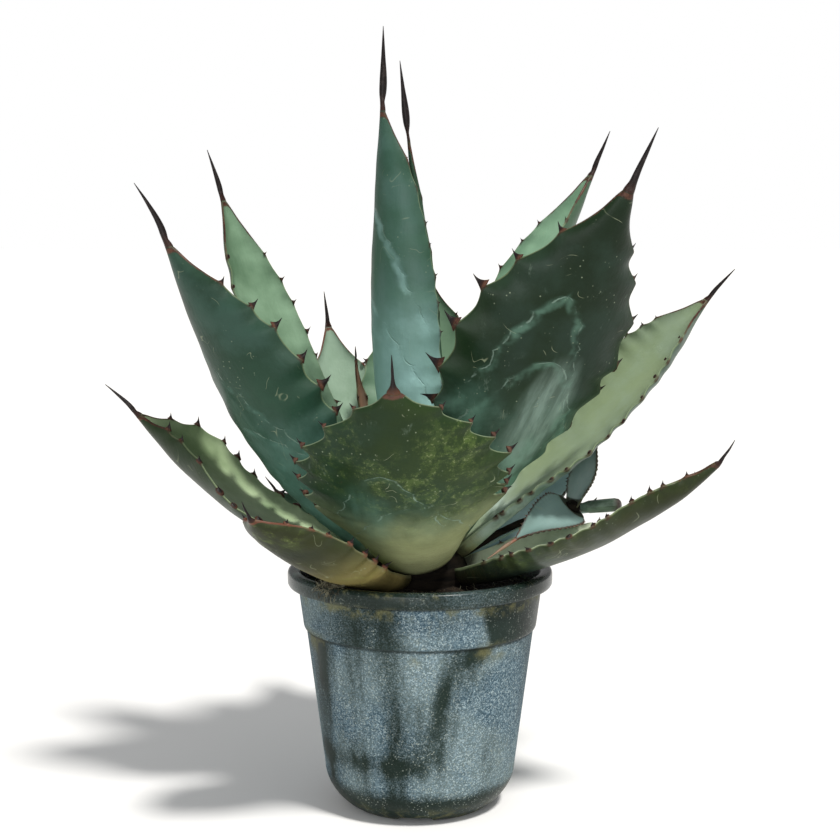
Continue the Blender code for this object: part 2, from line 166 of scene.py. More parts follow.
def buildStage():
    s = stageSizes
    camera = newBody("viewCamera", bpy.data.cameras.new("viewCamera"))
    camera.data.lens = s["cameraLens"]
    camera.data.sensor_width = 36.0
    camera.data.clip_end = 50.0
    camera.location = s["cameraPlace"]
    camera.rotation_euler = (math.radians(90 + s["cameraPitch"]), 0.0, 0.0)
    bpy.context.scene.camera = camera

    half, tone = s["floorHalf"], s["floorTone"]
    mesh = bpy.data.meshes.new("floor")
    mesh.from_pydata([(-half, -half, 0), (half, -half, 0), (half, half, 0), (-half, half, 0)], [], [(0, 1, 2, 3)])
    look = Look("paleFloor")
    look.keep(Base_Color=(tone, tone, tone, 1.0), Roughness=0.9, Specular_IOR_Level=0.1)
    mesh.materials.append(look.material)
    floor = newBody("floor", mesh)

    # a white backdrop that lights the object less than it shows
    world = bpy.data.worlds.new("studio")
    world.use_nodes = True
    nodes, links = world.node_tree.nodes, world.node_tree.links
    seen = nodes.new("ShaderNodeLightPath").outputs["Is Camera Ray"]
    strength = nodes.new("ShaderNodeMath")
    strength.operation = "MULTIPLY_ADD"
    links.new(seen, strength.inputs[0])
    strength.inputs[1].default_value = 1.0 - s["fillLight"]
    strength.inputs[2].default_value = s["fillLight"]
    links.new(strength.outputs[0], nodes["Background"].inputs["Strength"])
    nodes["Background"].inputs["Color"].default_value = (1.0, 1.0, 1.0, 1.0)
    bpy.context.scene.world = world

    turn, height = math.radians(s["sunTurn"]), math.radians(s["sunHeight"])
    toLamp = Vector((math.cos(turn) * math.cos(height), math.sin(turn) * math.cos(height), math.sin(height)))
    lamp = setLamp("keyLamp", "SUN", s["sunPower"], s["sunTone"], toLamp * 3, toLamp)
    lamp.angle = math.radians(s["sunSpread"])
    toLamp = Vector(s["frontPlace"]) - Vector(s["frontAim"])
    lamp = setLamp("frontLamp", "AREA", s["frontPower"], s["frontTone"], s["frontPlace"], toLamp)
    lamp.size = s["frontSize"]
    bpy.context.scene.view_settings.view_transform = "Standard"


def setLamp(name, kind, power, tone, place, toLamp):
    lamp = bpy.data.lights.new(name, kind)
    lamp.energy, lamp.color = power, tone
    body = newBody(name, lamp)
    body.location = place
    body.rotation_euler = toLamp.to_track_quat("Z", "Y").to_euler()
    return lamp


# ---- reading the leaves' skeletons from the frame, whose leaves are rings of eight points that end in a tip

ringPoints = 8


def smoothStep(low, high, x):
    t = np.clip((np.asarray(x, float) - low) / (high - low), 0.0, 1.0)
    return t * t * (3 - 2 * t)


def unit(vectors):
    return vectors / np.maximum(np.linalg.norm(vectors, axis=-1, keepdims=True), 1e-12)


def runThrough(knots, held, at):  # a smooth run through values at the knots
    knots, held, at = (np.asarray(x, float) for x in (knots, held, at))
    flat = held.reshape(len(knots), -1)
    gaps = np.diff(knots)[:, None]
    slopes = np.diff(flat, axis=0) / gaps
    lean = np.empty_like(flat)
    lean[1:-1] = (slopes[:-1] * gaps[1:] + slopes[1:] * gaps[:-1]) / (gaps[:-1] + gaps[1:])
    lean[0], lean[-1] = slopes[0], slopes[-1]
    k = np.clip(np.searchsorted(knots, at) - 1, 0, len(knots) - 2)
    h = gaps[k]
    t = (at - knots[k])[:, None] / h
    found = ((2 * t**3 - 3 * t**2 + 1) * flat[k] + (t**3 - 2 * t**2 + t) * h * lean[k]
             + (3 * t**2 - 2 * t**3) * flat[k + 1] + (t**3 - t**2) * h * lean[k + 1])
    return found.reshape(len(at), *held.shape[1:])


def ringLayers(tip):
    seen, layer, layers = {tip}, [tip], []
    while layer:
        layer = sorted({e.other_vert(v) for v in layer for e in v.link_edges} - seen, key=lambda v: v.index)
        seen.update(layer)
        if layer:
            layers.append(layer)
    return layers if all(len(found) == ringPoints for found in layers) else None


def ringOrder(layer, before):
    inLayer, inBefore = set(layer), set(before)
    near = {v: [] for v in layer}
    for v in layer:
        for e in v.link_edges:
            other = e.other_vert(v)
            if other in inLayer and any(inBefore & set(f.verts) for f in e.link_faces):
                near[v].append(other)
    order = [layer[0], near[layer[0]][0]]
    while len(order) < ringPoints:
        order.append(next(v for v in near[order[-1]] if v is not order[-2]))
    return np.array([v.co for v in order])


def alignTo(ring, last):
    tries = [np.roll(turned, shift, axis=0) for turned in (ring, ring[::-1]) for shift in range(ringPoints)]
    return min(tries, key=lambda found: ((found - last) ** 2).sum())


def readLeaf(node):
    bm = bmesh.new()
    bm.from_mesh(cadNodes[node].data)
    bmesh.ops.remove_doubles(bm, verts=bm.verts, dist=0.02 * mm)
    bm.verts.index_update()
    for tip in bm.verts:
        layers = ringLayers(tip) if len(tip.link_edges) == ringPoints else None
        if layers:
            break
    rings, before = [], [tip]
    for layer in layers:
        ring = ringOrder(layer, before)
        rings.append(alignTo(ring, rings[-1]) if rings else ring)
        before = layer
    rings = np.array(rings[::-1])
    tipPoint = np.array(tip.co)
    bm.free()

    blade = rings[:-2]
    spans = ((blade[:, :4] - blade[:, 4:]) ** 2).sum(axis=2).mean(axis=0)
    rings = np.roll(rings, -int(spans.argmax()), axis=1)  # margins come to places 0 and 4
    middle = (rings[:-2, 0] + rings[:-2, 4]) / 2
    if np.linalg.norm(rings[:-2, 2] - middle, axis=1).sum() > np.linalg.norm(rings[:-2, 6] - middle, axis=1).sum():
        rings = np.roll(rings[:, ::-1], 1, axis=1)  # the inner face comes to places 1 to 3
    along = rings[-3, 2] - rings[0, 2]
    span = (rings[:-2, 4] - rings[:-2, 0]).sum(axis=0)
    inward = (middle - rings[:-2, 2]).sum(axis=0)
    if np.dot(np.cross(along, span), inward) < 0:
        rings = rings[:, [4, 3, 2, 1, 0, 7, 6, 5]]  # left and right change places
    return rings, tipPoint


def leafSkeleton(node):
    rings, tipPoint = readLeaf(node)
    blade = rings[:-2]
    station = np.concatenate([[0.0], np.cumsum(np.linalg.norm(np.diff(blade[:, 2], axis=0), axis=1))])
    plain = [0, 1] + list(range(2, len(blade) - 1, 2)) + [len(blade) - 1]
    left, foot, right = blade[plain, 0], blade[plain, 2], blade[plain, 4]
    middle = (left + right) / 2
    half = np.linalg.norm(right - left, axis=1) / 2
    sag = np.linalg.norm(foot - middle, axis=1)
    radius = (half**2 + sag**2) / (2 * sag)
    wrap = np.arctan2(half, radius - sag)
    skeleton = {
        "knots": station[plain], "mid": foot, "up": unit(middle - foot), "across": unit(right - left),
        "halfArc": radius * wrap, "wrap": wrap, "thick": np.linalg.norm(blade[plain, 6] - foot, axis=1),
        "length": station[-1]}
    centres = [(blade[-1, 2] + blade[-1, 6]) / 2, rings[-2].mean(axis=0), rings[-1].mean(axis=0), tipPoint]
    skeleton["spineMid"] = np.array(centres)
    skeleton["spineRadius"] = np.array([
        np.linalg.norm(blade[-1, 4] - blade[-1, 0]) / 2 * 0.95,
        np.linalg.norm(rings[-2] - centres[1], axis=1).mean(),
        np.linalg.norm(rings[-1] - centres[2], axis=1).mean(), 0.25 * mm])
    return skeleton


# ---- leaf blades with scalloped margins, and hooked teeth set on them

bladeSizes = {
    "rowGap": 1.3 * mm, "innerColumns": 31, "outerColumns": 31, "spineRows": 26,
    "leastRows": 40, "marginSamples": 400, "leastHalf": 1.2 * mm, "leastThick": 0.8 * mm,
    "rootedDepth": 13 * mm, "rootedRows": 7, "rootedWidth": 0.40,   # the foot narrows on its way into the stem
    "beadHeight": 0.30 * mm, "beadWidth": 1.8 * mm,
    "quilting": 1.5 * mm,                                           # how far the margin swells out under a tooth
    "unevenness": 0.9 * mm, "broadWaves": 16, "closeWaves": 46,     # waves by their number in a metre
    "hookTurn": 0.42, "lastTooth": 0.985,                           # shares of the leaf's length
    "spineKnots": (0, 0.30, 0.68, 1.0),
}


def toothPlan(shape, length, seed):
    # for each margin its teeth's stations and sizes, closer and smaller towards the foot
    rng = np.random.default_rng(seed)
    plans = []
    for count, first, last, size in (shape["teethOther"] or shape["teeth"], shape["teeth"]):
        share = first + (last - first) * np.linspace(0, 1, count) ** shape["pace"]
        share = share + rng.uniform(-0.2, 0.2, count) * (last - first) / count
        size = size * mm * (0.5 + 0.5 * np.sin(math.pi * np.clip(share, 0, 1) ** 0.8)) * rng.uniform(0.8, 1.2, count)
        plans.append((share * length, size))
    return plans


def scallop(stations, plan, length):
    # margin height over the hollows between the teeth, distance to the nearest tooth, and 1 at a tooth, -1 halfway
    places, sizes = plan
    knots = np.concatenate([[-0.04 * length], places, [1.02 * length]])
    high = np.concatenate([[sizes[0] * 0.3], sizes, [0.0]])
    k = np.clip(np.searchsorted(knots, stations) - 1, 0, len(knots) - 2)
    t = np.clip((stations - knots[k]) / (knots[k + 1] - knots[k]), 0, 1)
    start = smoothStep(0.02 * length, 0.14 * length, stations)
    arc = (high[k] * (1 - t) + high[k + 1] * t) * np.abs(2 * t - 1) ** 1.7 * start
    nearest = np.minimum(np.abs(stations - knots[k]), np.abs(stations - knots[k + 1]))
    return arc, nearest, np.cos(2 * math.pi * t) * start


def buildBlade(name, shape, seed):
    skeleton = leafSkeleton(name)
    sizes = bladeSizes
    length = skeleton["length"]
    knots = skeleton["knots"]
    # rows and teeth are spaced by the way along the margin, which a blunt tip makes longer than the midrib
    samples = np.linspace(0.0, length, sizes["marginSamples"])
    steps = np.hypot(np.diff(samples), np.diff(runThrough(knots, skeleton["halfArc"], samples)))
    sampledRim = np.concatenate([[0.0], np.cumsum(steps)])
    rim = np.linspace(0.0, sampledRim[-1], max(sizes["leastRows"], int(sampledRim[-1] / sizes["rowGap"])))
    stations = np.interp(rim, sampledRim, samples)
    mid = runThrough(knots, skeleton["mid"], stations)
    up = unit(runThrough(knots, skeleton["up"], stations))
    across = runThrough(knots, skeleton["across"], stations)
    across = unit(across - up * (across * up).sum(axis=1, keepdims=True))
    halfArc = np.maximum(runThrough(knots, skeleton["halfArc"], stations), sizes["leastHalf"])
    wrap = runThrough(knots, skeleton["wrap"], stations)
    thick = np.maximum(runThrough(knots, skeleton["thick"], stations), sizes["leastThick"])
    plans = toothPlan(shape, rim[-1], seed)
    bumps = [scallop(rim, plan, rim[-1]) for plan in plans]
    plans = [(np.interp(places, rim, stations), heights) for places, heights in plans]

    inner = np.sin(np.pi / 2 * np.linspace(-1, 1, sizes["innerColumns"]))
    outer = np.sin(np.pi / 2 * np.linspace(1, -1, sizes["outerColumns"] + 2))[1:-1]
    turns = np.concatenate([inner, outer])
    isInner = np.concatenate([np.ones(len(inner)), np.zeros(len(outer))])
    loop = len(turns)

    radius = halfArc / wrap
    rows, plots, marks = [], [], []
    along = unit(np.gradient(mid, axis=0))
    for i, station in enumerate(stations):
        share = station / length
        bump, seat, swell = (np.where(turns < 0, bumps[0][k][i], bumps[1][k][i]) for k in range(3))
        bump = bump - shape["scallopInset"] * mm * smoothStep(0.05, 0.2, share) * (1 - smoothStep(0.94, 1.0, share))
        reach = turns * halfArc[i] + np.sign(turns) * bump * shape["scallop"] * smoothStep(0.45, 1.0, np.abs(turns))
        angle = reach / radius[i]
        lean = across[i] * np.sin(angle)[:, None] - up[i] * np.cos(angle)[:, None]
        edge = (1 - np.abs(turns)) * halfArc[i]
        depth = np.where(isInner > 0, 0.0, thick[i] * (1 - turns**2) ** 0.6)
        bead = sizes["beadHeight"] * np.exp(-(edge / sizes["beadWidth"]) ** 2) * smoothStep(0.05, 0.2, share)
        seatSwell = shape["seatSwell"] * mm * np.exp(-(seat / (3.5 * mm)) ** 2 - (edge / (2.5 * mm)) ** 2)
        depth = depth + (bead + seatSwell) * np.where(isInner > 0, -1.0, 1.0) * np.minimum(1, edge / (0.4 * mm))
        wave = np.zeros(loop)
        broad, close = sizes["broadWaves"], sizes["closeWaves"]
        for j in range(loop):
            broadSpot = Vector((reach[j] * broad, station * broad, seed * 3.7))
            closeSpot = Vector((reach[j] * close, station * close, seed * 5.1))
            wave[j] = (noise.noise(broadSpot) * sizes["unevenness"] * 2.2
                       + noise.noise(closeSpot) * sizes["unevenness"] * 0.5)
        calm = smoothStep(0.0, 0.16, share) * (1 - smoothStep(0.86, 1.0, share))
        quilt = swell * sizes["quilting"] * np.abs(turns) ** 3 * shape["quilt"]
        depth = depth + (wave * shape["unevenScale"] + quilt) * calm
        points = mid[i] + up[i] * radius[i] + lean * (radius[i] + depth)[:, None]
        rows.append(points)
        nearEdge = 1 - smoothStep(0.3 * mm, 2.0 * mm, edge)
        horn = smoothStep(0.978, 0.998, share) + nearEdge * smoothStep(0.78, 0.95, share) * shape["decurrent"]
        plots.append(np.stack([turns * halfArc[i], np.full(loop, station), isInner], axis=1))
        marks.append(np.stack([edge / mm, seat / mm, np.clip(horn, 0, 1)], axis=1))

    first, centre = rows[0], rows[0].mean(axis=0)
    for step in range(1, sizes["rootedRows"] + 1):
        share = step / sizes["rootedRows"]
        shrink = 1 - (1 - sizes["rootedWidth"]) * share**1.5
        rows.insert(0, centre + (first - centre) * shrink - along[0] * sizes["rootedDepth"] * share)
        plots.insert(0, plots[0] * (1, 0, 1))
        marks.insert(0, marks[0])

    # the spine grows out of the blade's end, and its groove closes on the way
    end = rows[-1]
    shares = np.linspace(0, 1, sizes["spineRows"] + 1)[1:] ** 1.15
    centres = runThrough(sizes["spineKnots"], skeleton["spineMid"], shares)
    radii = runThrough(sizes["spineKnots"], skeleton["spineRadius"], shares)
    startCentre = skeleton["spineMid"][0]
    spineLength = np.linalg.norm(np.diff(skeleton["spineMid"], axis=0), axis=1).sum()
    angles = np.concatenate([np.pi * (1 - (inner + 1) / 2), -np.pi * (1 - (outer + 1) / 2)])
    local = end - startCentre
    for share, centre, girth in zip(shares, centres, radii):
        circle = (across[-1] * np.cos(angles)[:, None] + up[-1] * np.sin(angles)[:, None]) * girth
        closing = float(smoothStep(0.0, 0.24, share))
        shrink = 1 - 0.35 * float(smoothStep(0.0, 0.3, share))
        rows.append(centre + local * shrink * (1 - closing) + circle * closing)
        plots.append(np.stack([turns * girth, np.full(loop, length + share * spineLength), isInner], axis=1))
        marks.append(np.stack([np.full(loop, 9.0), np.full(loop, 99.0), np.full(loop, 1 + share)], axis=1))

    points = np.concatenate(rows + [[rows[0].mean(axis=0)]])
    faces = []
    for i in range(len(rows) - 1):
        for j in range(loop):
            a, b = i * loop + j, i * loop + (j + 1) % loop
            faces.append((a, b, b + loop, a + loop))
    last = (len(rows) - 1) * loop
    faces.append(tuple(last + j for j in range(loop)))
    hub = len(points) - 1
    faces += [(hub, (j + 1) % loop, j) for j in range(loop)]
    mesh = meshFrom(name + "Blade", points, faces)
    writeVectors(mesh, "plot", np.concatenate(plots + [[[0, 0, 0]]]))
    writeVectors(mesh, "marks", np.concatenate(marks + [[[9, 99, 0]]]))
    seats = toothSeats(stations, mid, up, across, radius, halfArc, along, plans, length, shape, seed)
    return mesh, seats, skeleton


def meshFrom(name, points, faces):
    mesh = bpy.data.meshes.new(name)
    mesh.from_pydata([tuple(p) for p in points], [], faces)
    bm = bmesh.new()
    bm.from_mesh(mesh)
    if bm.calc_volume(signed=True) < 0:
        bmesh.ops.reverse_faces(bm, faces=bm.faces)
    bm.to_mesh(mesh)
    bm.free()
    mesh.shade_smooth()
    return mesh


def writeVectors(mesh, name, held):
    attribute = mesh.attributes.new(name, "FLOAT_VECTOR", "POINT")
    attribute.data.foreach_set("vector", np.asarray(held, np.float32).ravel())


def toothSeats(stations, mid, up, across, radius, halfArc, along, plans, length, shape, seed):
    rng = np.random.default_rng(seed + 50)
    places, outward, hooked, sizes = [], [], [], []

    def seat(station, side, size, lift):
        k = min(int(np.searchsorted(stations, station)), len(stations) - 1)
        angle = side * (halfArc[k] + lift) / radius[k]
        lean = across[k] * np.sin(angle) - up[k] * np.cos(angle)
        out = (across[k] * np.cos(angle) + up[k] * np.sin(angle)) * side
        share = station / length
        bend = along[k] * ((share - bladeSizes["hookTurn"]) * 1.6 + rng.uniform(-0.35, 0.35))
        places.append(mid[k] + up[k] * radius[k] + lean * radius[k] - out * 0.5 * mm)
        outward.append(unit(out + bend * 0.45 + up[k] * rng.uniform(-0.15, 0.25)))
        hooked.append(unit(along[k] * (1 if share > bladeSizes["hookTurn"] else -1) + 0.2 * up[k]))
        sizes.append(size)

    for side, (at, heights) in zip((-1, 1), plans):
        for station, high in zip(at, heights):
            if station < bladeSizes["lastTooth"] * length:
                seat(station, side, high * shape["toothScale"], (high - shape["scallopInset"] * mm) * shape["scallop"])
    seatMesh = bpy.data.meshes.new("toothSeats")
    seatMesh.from_pydata([tuple(p) for p in places], [], [])
    writeVectors(seatMesh, "outward", outward)
    writeVectors(seatMesh, "hooked", hooked)
    grade = seatMesh.attributes.new("toothSize", "FLOAT", "POINT")
    grade.data.foreach_set("value", np.asarray(sizes, np.float32))
    return seatMesh


class Tree:
    # a Geometry Nodes tree, with its inputs declared by name
    def __init__(self, name):
        self.group = bpy.data.node_groups.new(name, "GeometryNodeTree")
        self.group.interface.new_socket("Geometry", in_out="INPUT", socket_type="NodeSocketGeometry")
        self.group.interface.new_socket("Geometry", in_out="OUTPUT", socket_type="NodeSocketGeometry")
        self.entry = self.group.nodes.new("NodeGroupInput")
        self.exit = self.group.nodes.new("NodeGroupOutput")

    def input(self, name, kind, default=None):
        socket = self.group.interface.new_socket(name, in_out="INPUT", socket_type="NodeSocket" + kind)
        if default is not None:
            socket.default_value = default
        return self.entry.outputs[name]

    def add(self, kind, settings=None, sockets=None, output=0):
        node = self.group.nodes.new(kind)
        for key, setting in (settings or {}).items():
            setattr(node, key, setting)
        for key, held in (sockets or {}).items():
            if isinstance(held, bpy.types.NodeSocket):
                self.group.links.new(held, node.inputs[key])
            elif isinstance(held, list):
                for one in held:
                    self.group.links.new(one, node.inputs[key])
            else:
                node.inputs[key].default_value = held
        return node.outputs[output]

    def named(self, name, kind="FLOAT"):
        return self.add("GeometryNodeInputNamedAttribute", {"data_type": kind}, {"Name": name})

    def maths(self, operation, *held):
        return self.add("ShaderNodeMath", {"operation": operation}, dict(enumerate(held)))

    def scatter(self, density, seed):
        return self.add("GeometryNodeDistributePointsOnFaces", {}, {
            "Mesh": self.entry.outputs[0], "Density": density, "Seed": seed})

    def anyVector(self, seed, low=(0.0, 0.0, 0.0), high=(6.28, 6.28, 6.28)):  # by default a turn any way
        return self.add("FunctionNodeRandomValue", {"data_type": "FLOAT_VECTOR"}, {0: low, 1: high, "Seed": seed})

    def finish(self, geometry):
        material = self.input("Finish", "Material")
        solid = self.add("GeometryNodeRealizeInstances", {}, {"Geometry": geometry})
        dressed = self.add("GeometryNodeSetMaterial", {}, {"Geometry": solid, "Material": material})
        self.group.links.new(dressed, self.exit.inputs[0])
        return self.group


def grownMesh(name, mesh, group, held):
    # runs a tree on a mesh and keeps the plain result; inputs are set by identifier before the first evaluation
    body = newBody(name, mesh)
    modifier = body.modifiers.new(group.name, "NODES")
    modifier.node_group = group
    identifiers = {item.name: item.identifier for item in group.interface.items_tree if item.in_out == "INPUT"}
    for key, value in held.items():
        modifier[identifiers[key]] = value
    graph = bpy.context.evaluated_depsgraph_get()
    plain = bpy.data.meshes.new_from_object(body.evaluated_get(graph), depsgraph=graph)
    body.modifiers.remove(modifier)
    body.data = plain
    plain.name = name
    return body


def toothTree():
    tree = Tree("hookedTeeth")
    seats = tree.input("Seats", "Object")
    base = tree.input("Base", "Float", 0.42)
    needle = tree.input("Needle", "Float", 0.13)
    hook = tree.input("Hook", "Float", 0.36)
    flat = tree.input("Flatness", "Float", 0.50)
    rod = tree.add("GeometryNodeMeshCone", {"fill_type": "NGON"}, {
        "Vertices": 10, "Side Segments": 9, "Radius Top": 1.0, "Radius Bottom": 1.0, "Depth": 1.0})
    x, y, high = tree.add("ShaderNodeSeparateXYZ", {}, {0: tree.add("GeometryNodeInputPosition")}).node.outputs
    left = tree.maths("MAXIMUM", tree.maths("SUBTRACT", 1.0, high), 0.0)
    broad = tree.maths("MULTIPLY", tree.maths("POWER", left, 2.6), base)
    girth = tree.maths("MULTIPLY_ADD", tree.maths("POWER", left, 0.7), needle, broad)
    girth = tree.maths("ADD", girth, 0.012)
    thin = tree.maths("MULTIPLY_ADD", broad, flat, tree.maths("MULTIPLY", tree.maths("SUBTRACT", girth, broad), 0.85))
    bent = tree.maths("MULTIPLY", tree.maths("POWER", tree.maths("MAXIMUM", high, 0.0), 1.9), hook)
    newX = tree.maths("MULTIPLY_ADD", x, girth, bent)
    newY = tree.maths("MULTIPLY", y, thin)
    newZ = tree.maths("MULTIPLY_ADD", high, 1.16, -0.16)
    shaped = tree.add("GeometryNodeSetPosition", {}, {
        "Geometry": rod, "Position": tree.add("ShaderNodeCombineXYZ", {}, {0: newX, 1: newY, 2: newZ})})
    horn = tree.add("ShaderNodeCombineXYZ", {}, {0: 0.0, 1: 0.0, 2: tree.maths("ADD", newZ, 1.08)})
    marked = tree.add("GeometryNodeStoreNamedAttribute", {"data_type": "FLOAT_VECTOR"}, {
        "Geometry": shaped, "Name": "marks", "Value": horn})
    smooth = tree.add("GeometryNodeSetShadeSmooth", {}, {"Geometry": marked})
    points = tree.add("GeometryNodeObjectInfo", {"transform_space": "RELATIVE"}, {"Object": seats}, "Geometry")
    turn = tree.add("FunctionNodeAxesToRotation", {"primary_axis": "Z", "secondary_axis": "X"}, {
        0: tree.named("outward", "FLOAT_VECTOR"), 1: tree.named("hooked", "FLOAT_VECTOR")})
    teeth = tree.add("GeometryNodeInstanceOnPoints", {}, {
        "Points": points, "Instance": smooth, "Rotation": turn, "Scale": tree.named("toothSize")})
    solid = tree.add("GeometryNodeRealizeInstances", {}, {"Geometry": teeth})
    joined = tree.add("GeometryNodeJoinGeometry", {}, {0: [tree.entry.outputs[0], solid]})
    return tree.finish(joined)


# ---- what each leaf looks like

paintDefaults = {
    "outerDark": (0.030, 0.068, 0.040), "outerLight": (0.085, 0.165, 0.11),
    "innerDark": (0.09, 0.18, 0.11), "innerLight": (0.20, 0.32, 0.21),
    "bloomTone": (0.16, 0.29, 0.27), "bloom": 0.4, "bloomReach": 0.75, "evenBloom": 0.30, "wear": 0.75,
    "litSidePaint": 0.0, "topShade": 0.55, "footColourAndShade": (0.28, 0.27, 0.11), "footReach": 0.08, "footStainAndShadeReach": 0.035,
    "creaseTone": (0.10, 0.065, 0.025), "footStainAndShadeTone": (0.016, 0.013, 0.007),
    "mottle": 0.0, "mottleSide": 0.0, "mottleTone": (0.16, 0.23, 0.035), "speckTone": (0.34, 0.38, 0.18),
    "prints": [], "printLine": 0.45, "printTone": (0.27, 0.38, 0.31), "rubs": [], "rubTone": (0.30, 0.42, 0.36),
    "scuffs": 0.5, "scratchTone": (0.40, 0.44, 0.28), "scuffTone": (0.27, 0.36, 0.28), "fleckTone": (0.34, 0.40, 0.27),
    "edgeTone": (0.20, 0.25, 0.13), "edgeShade": (0.022, 0.045, 0.018),
    "brown": (0.042, 0.016, 0.011), "brownSpread": 1.0, "crustTone": (0.13, 0.060, 0.035),
    "spineDark": (0.010, 0.007, 0.007), "spineBase": (0.032, 0.013, 0.009), "spineWorn": (0.07, 0.055, 0.05),
}

# teeth are (count, first, last as shares of the leaf's length, size in mm); teethOther is for the other margin;
# scallopInset, seatSwell in mm; decurrent is how far the spine's brown runs down the margins
shapeDefaults = {
    "teeth": (10, 0.12, 0.86, 4.5), "teethOther": None, "scallop": 0.8, "scallopInset": 1.2, "quilt": 0.6,
    "pace": 1.2, "seatSwell": 0.5, "toothScale": 1.25, "unevenScale": 1.0, "decurrent": 0.85,
    "slot": "leaf_blue_green",
}

# low leaves that lie close to a neighbour stay near their plain shape
calmShape = {"unevenScale": 0.25, "quilt": 0.15, "scallop": 0.4, "toothScale": 0.8, "teeth": (9, 0.34, 0.88, 3.6)}

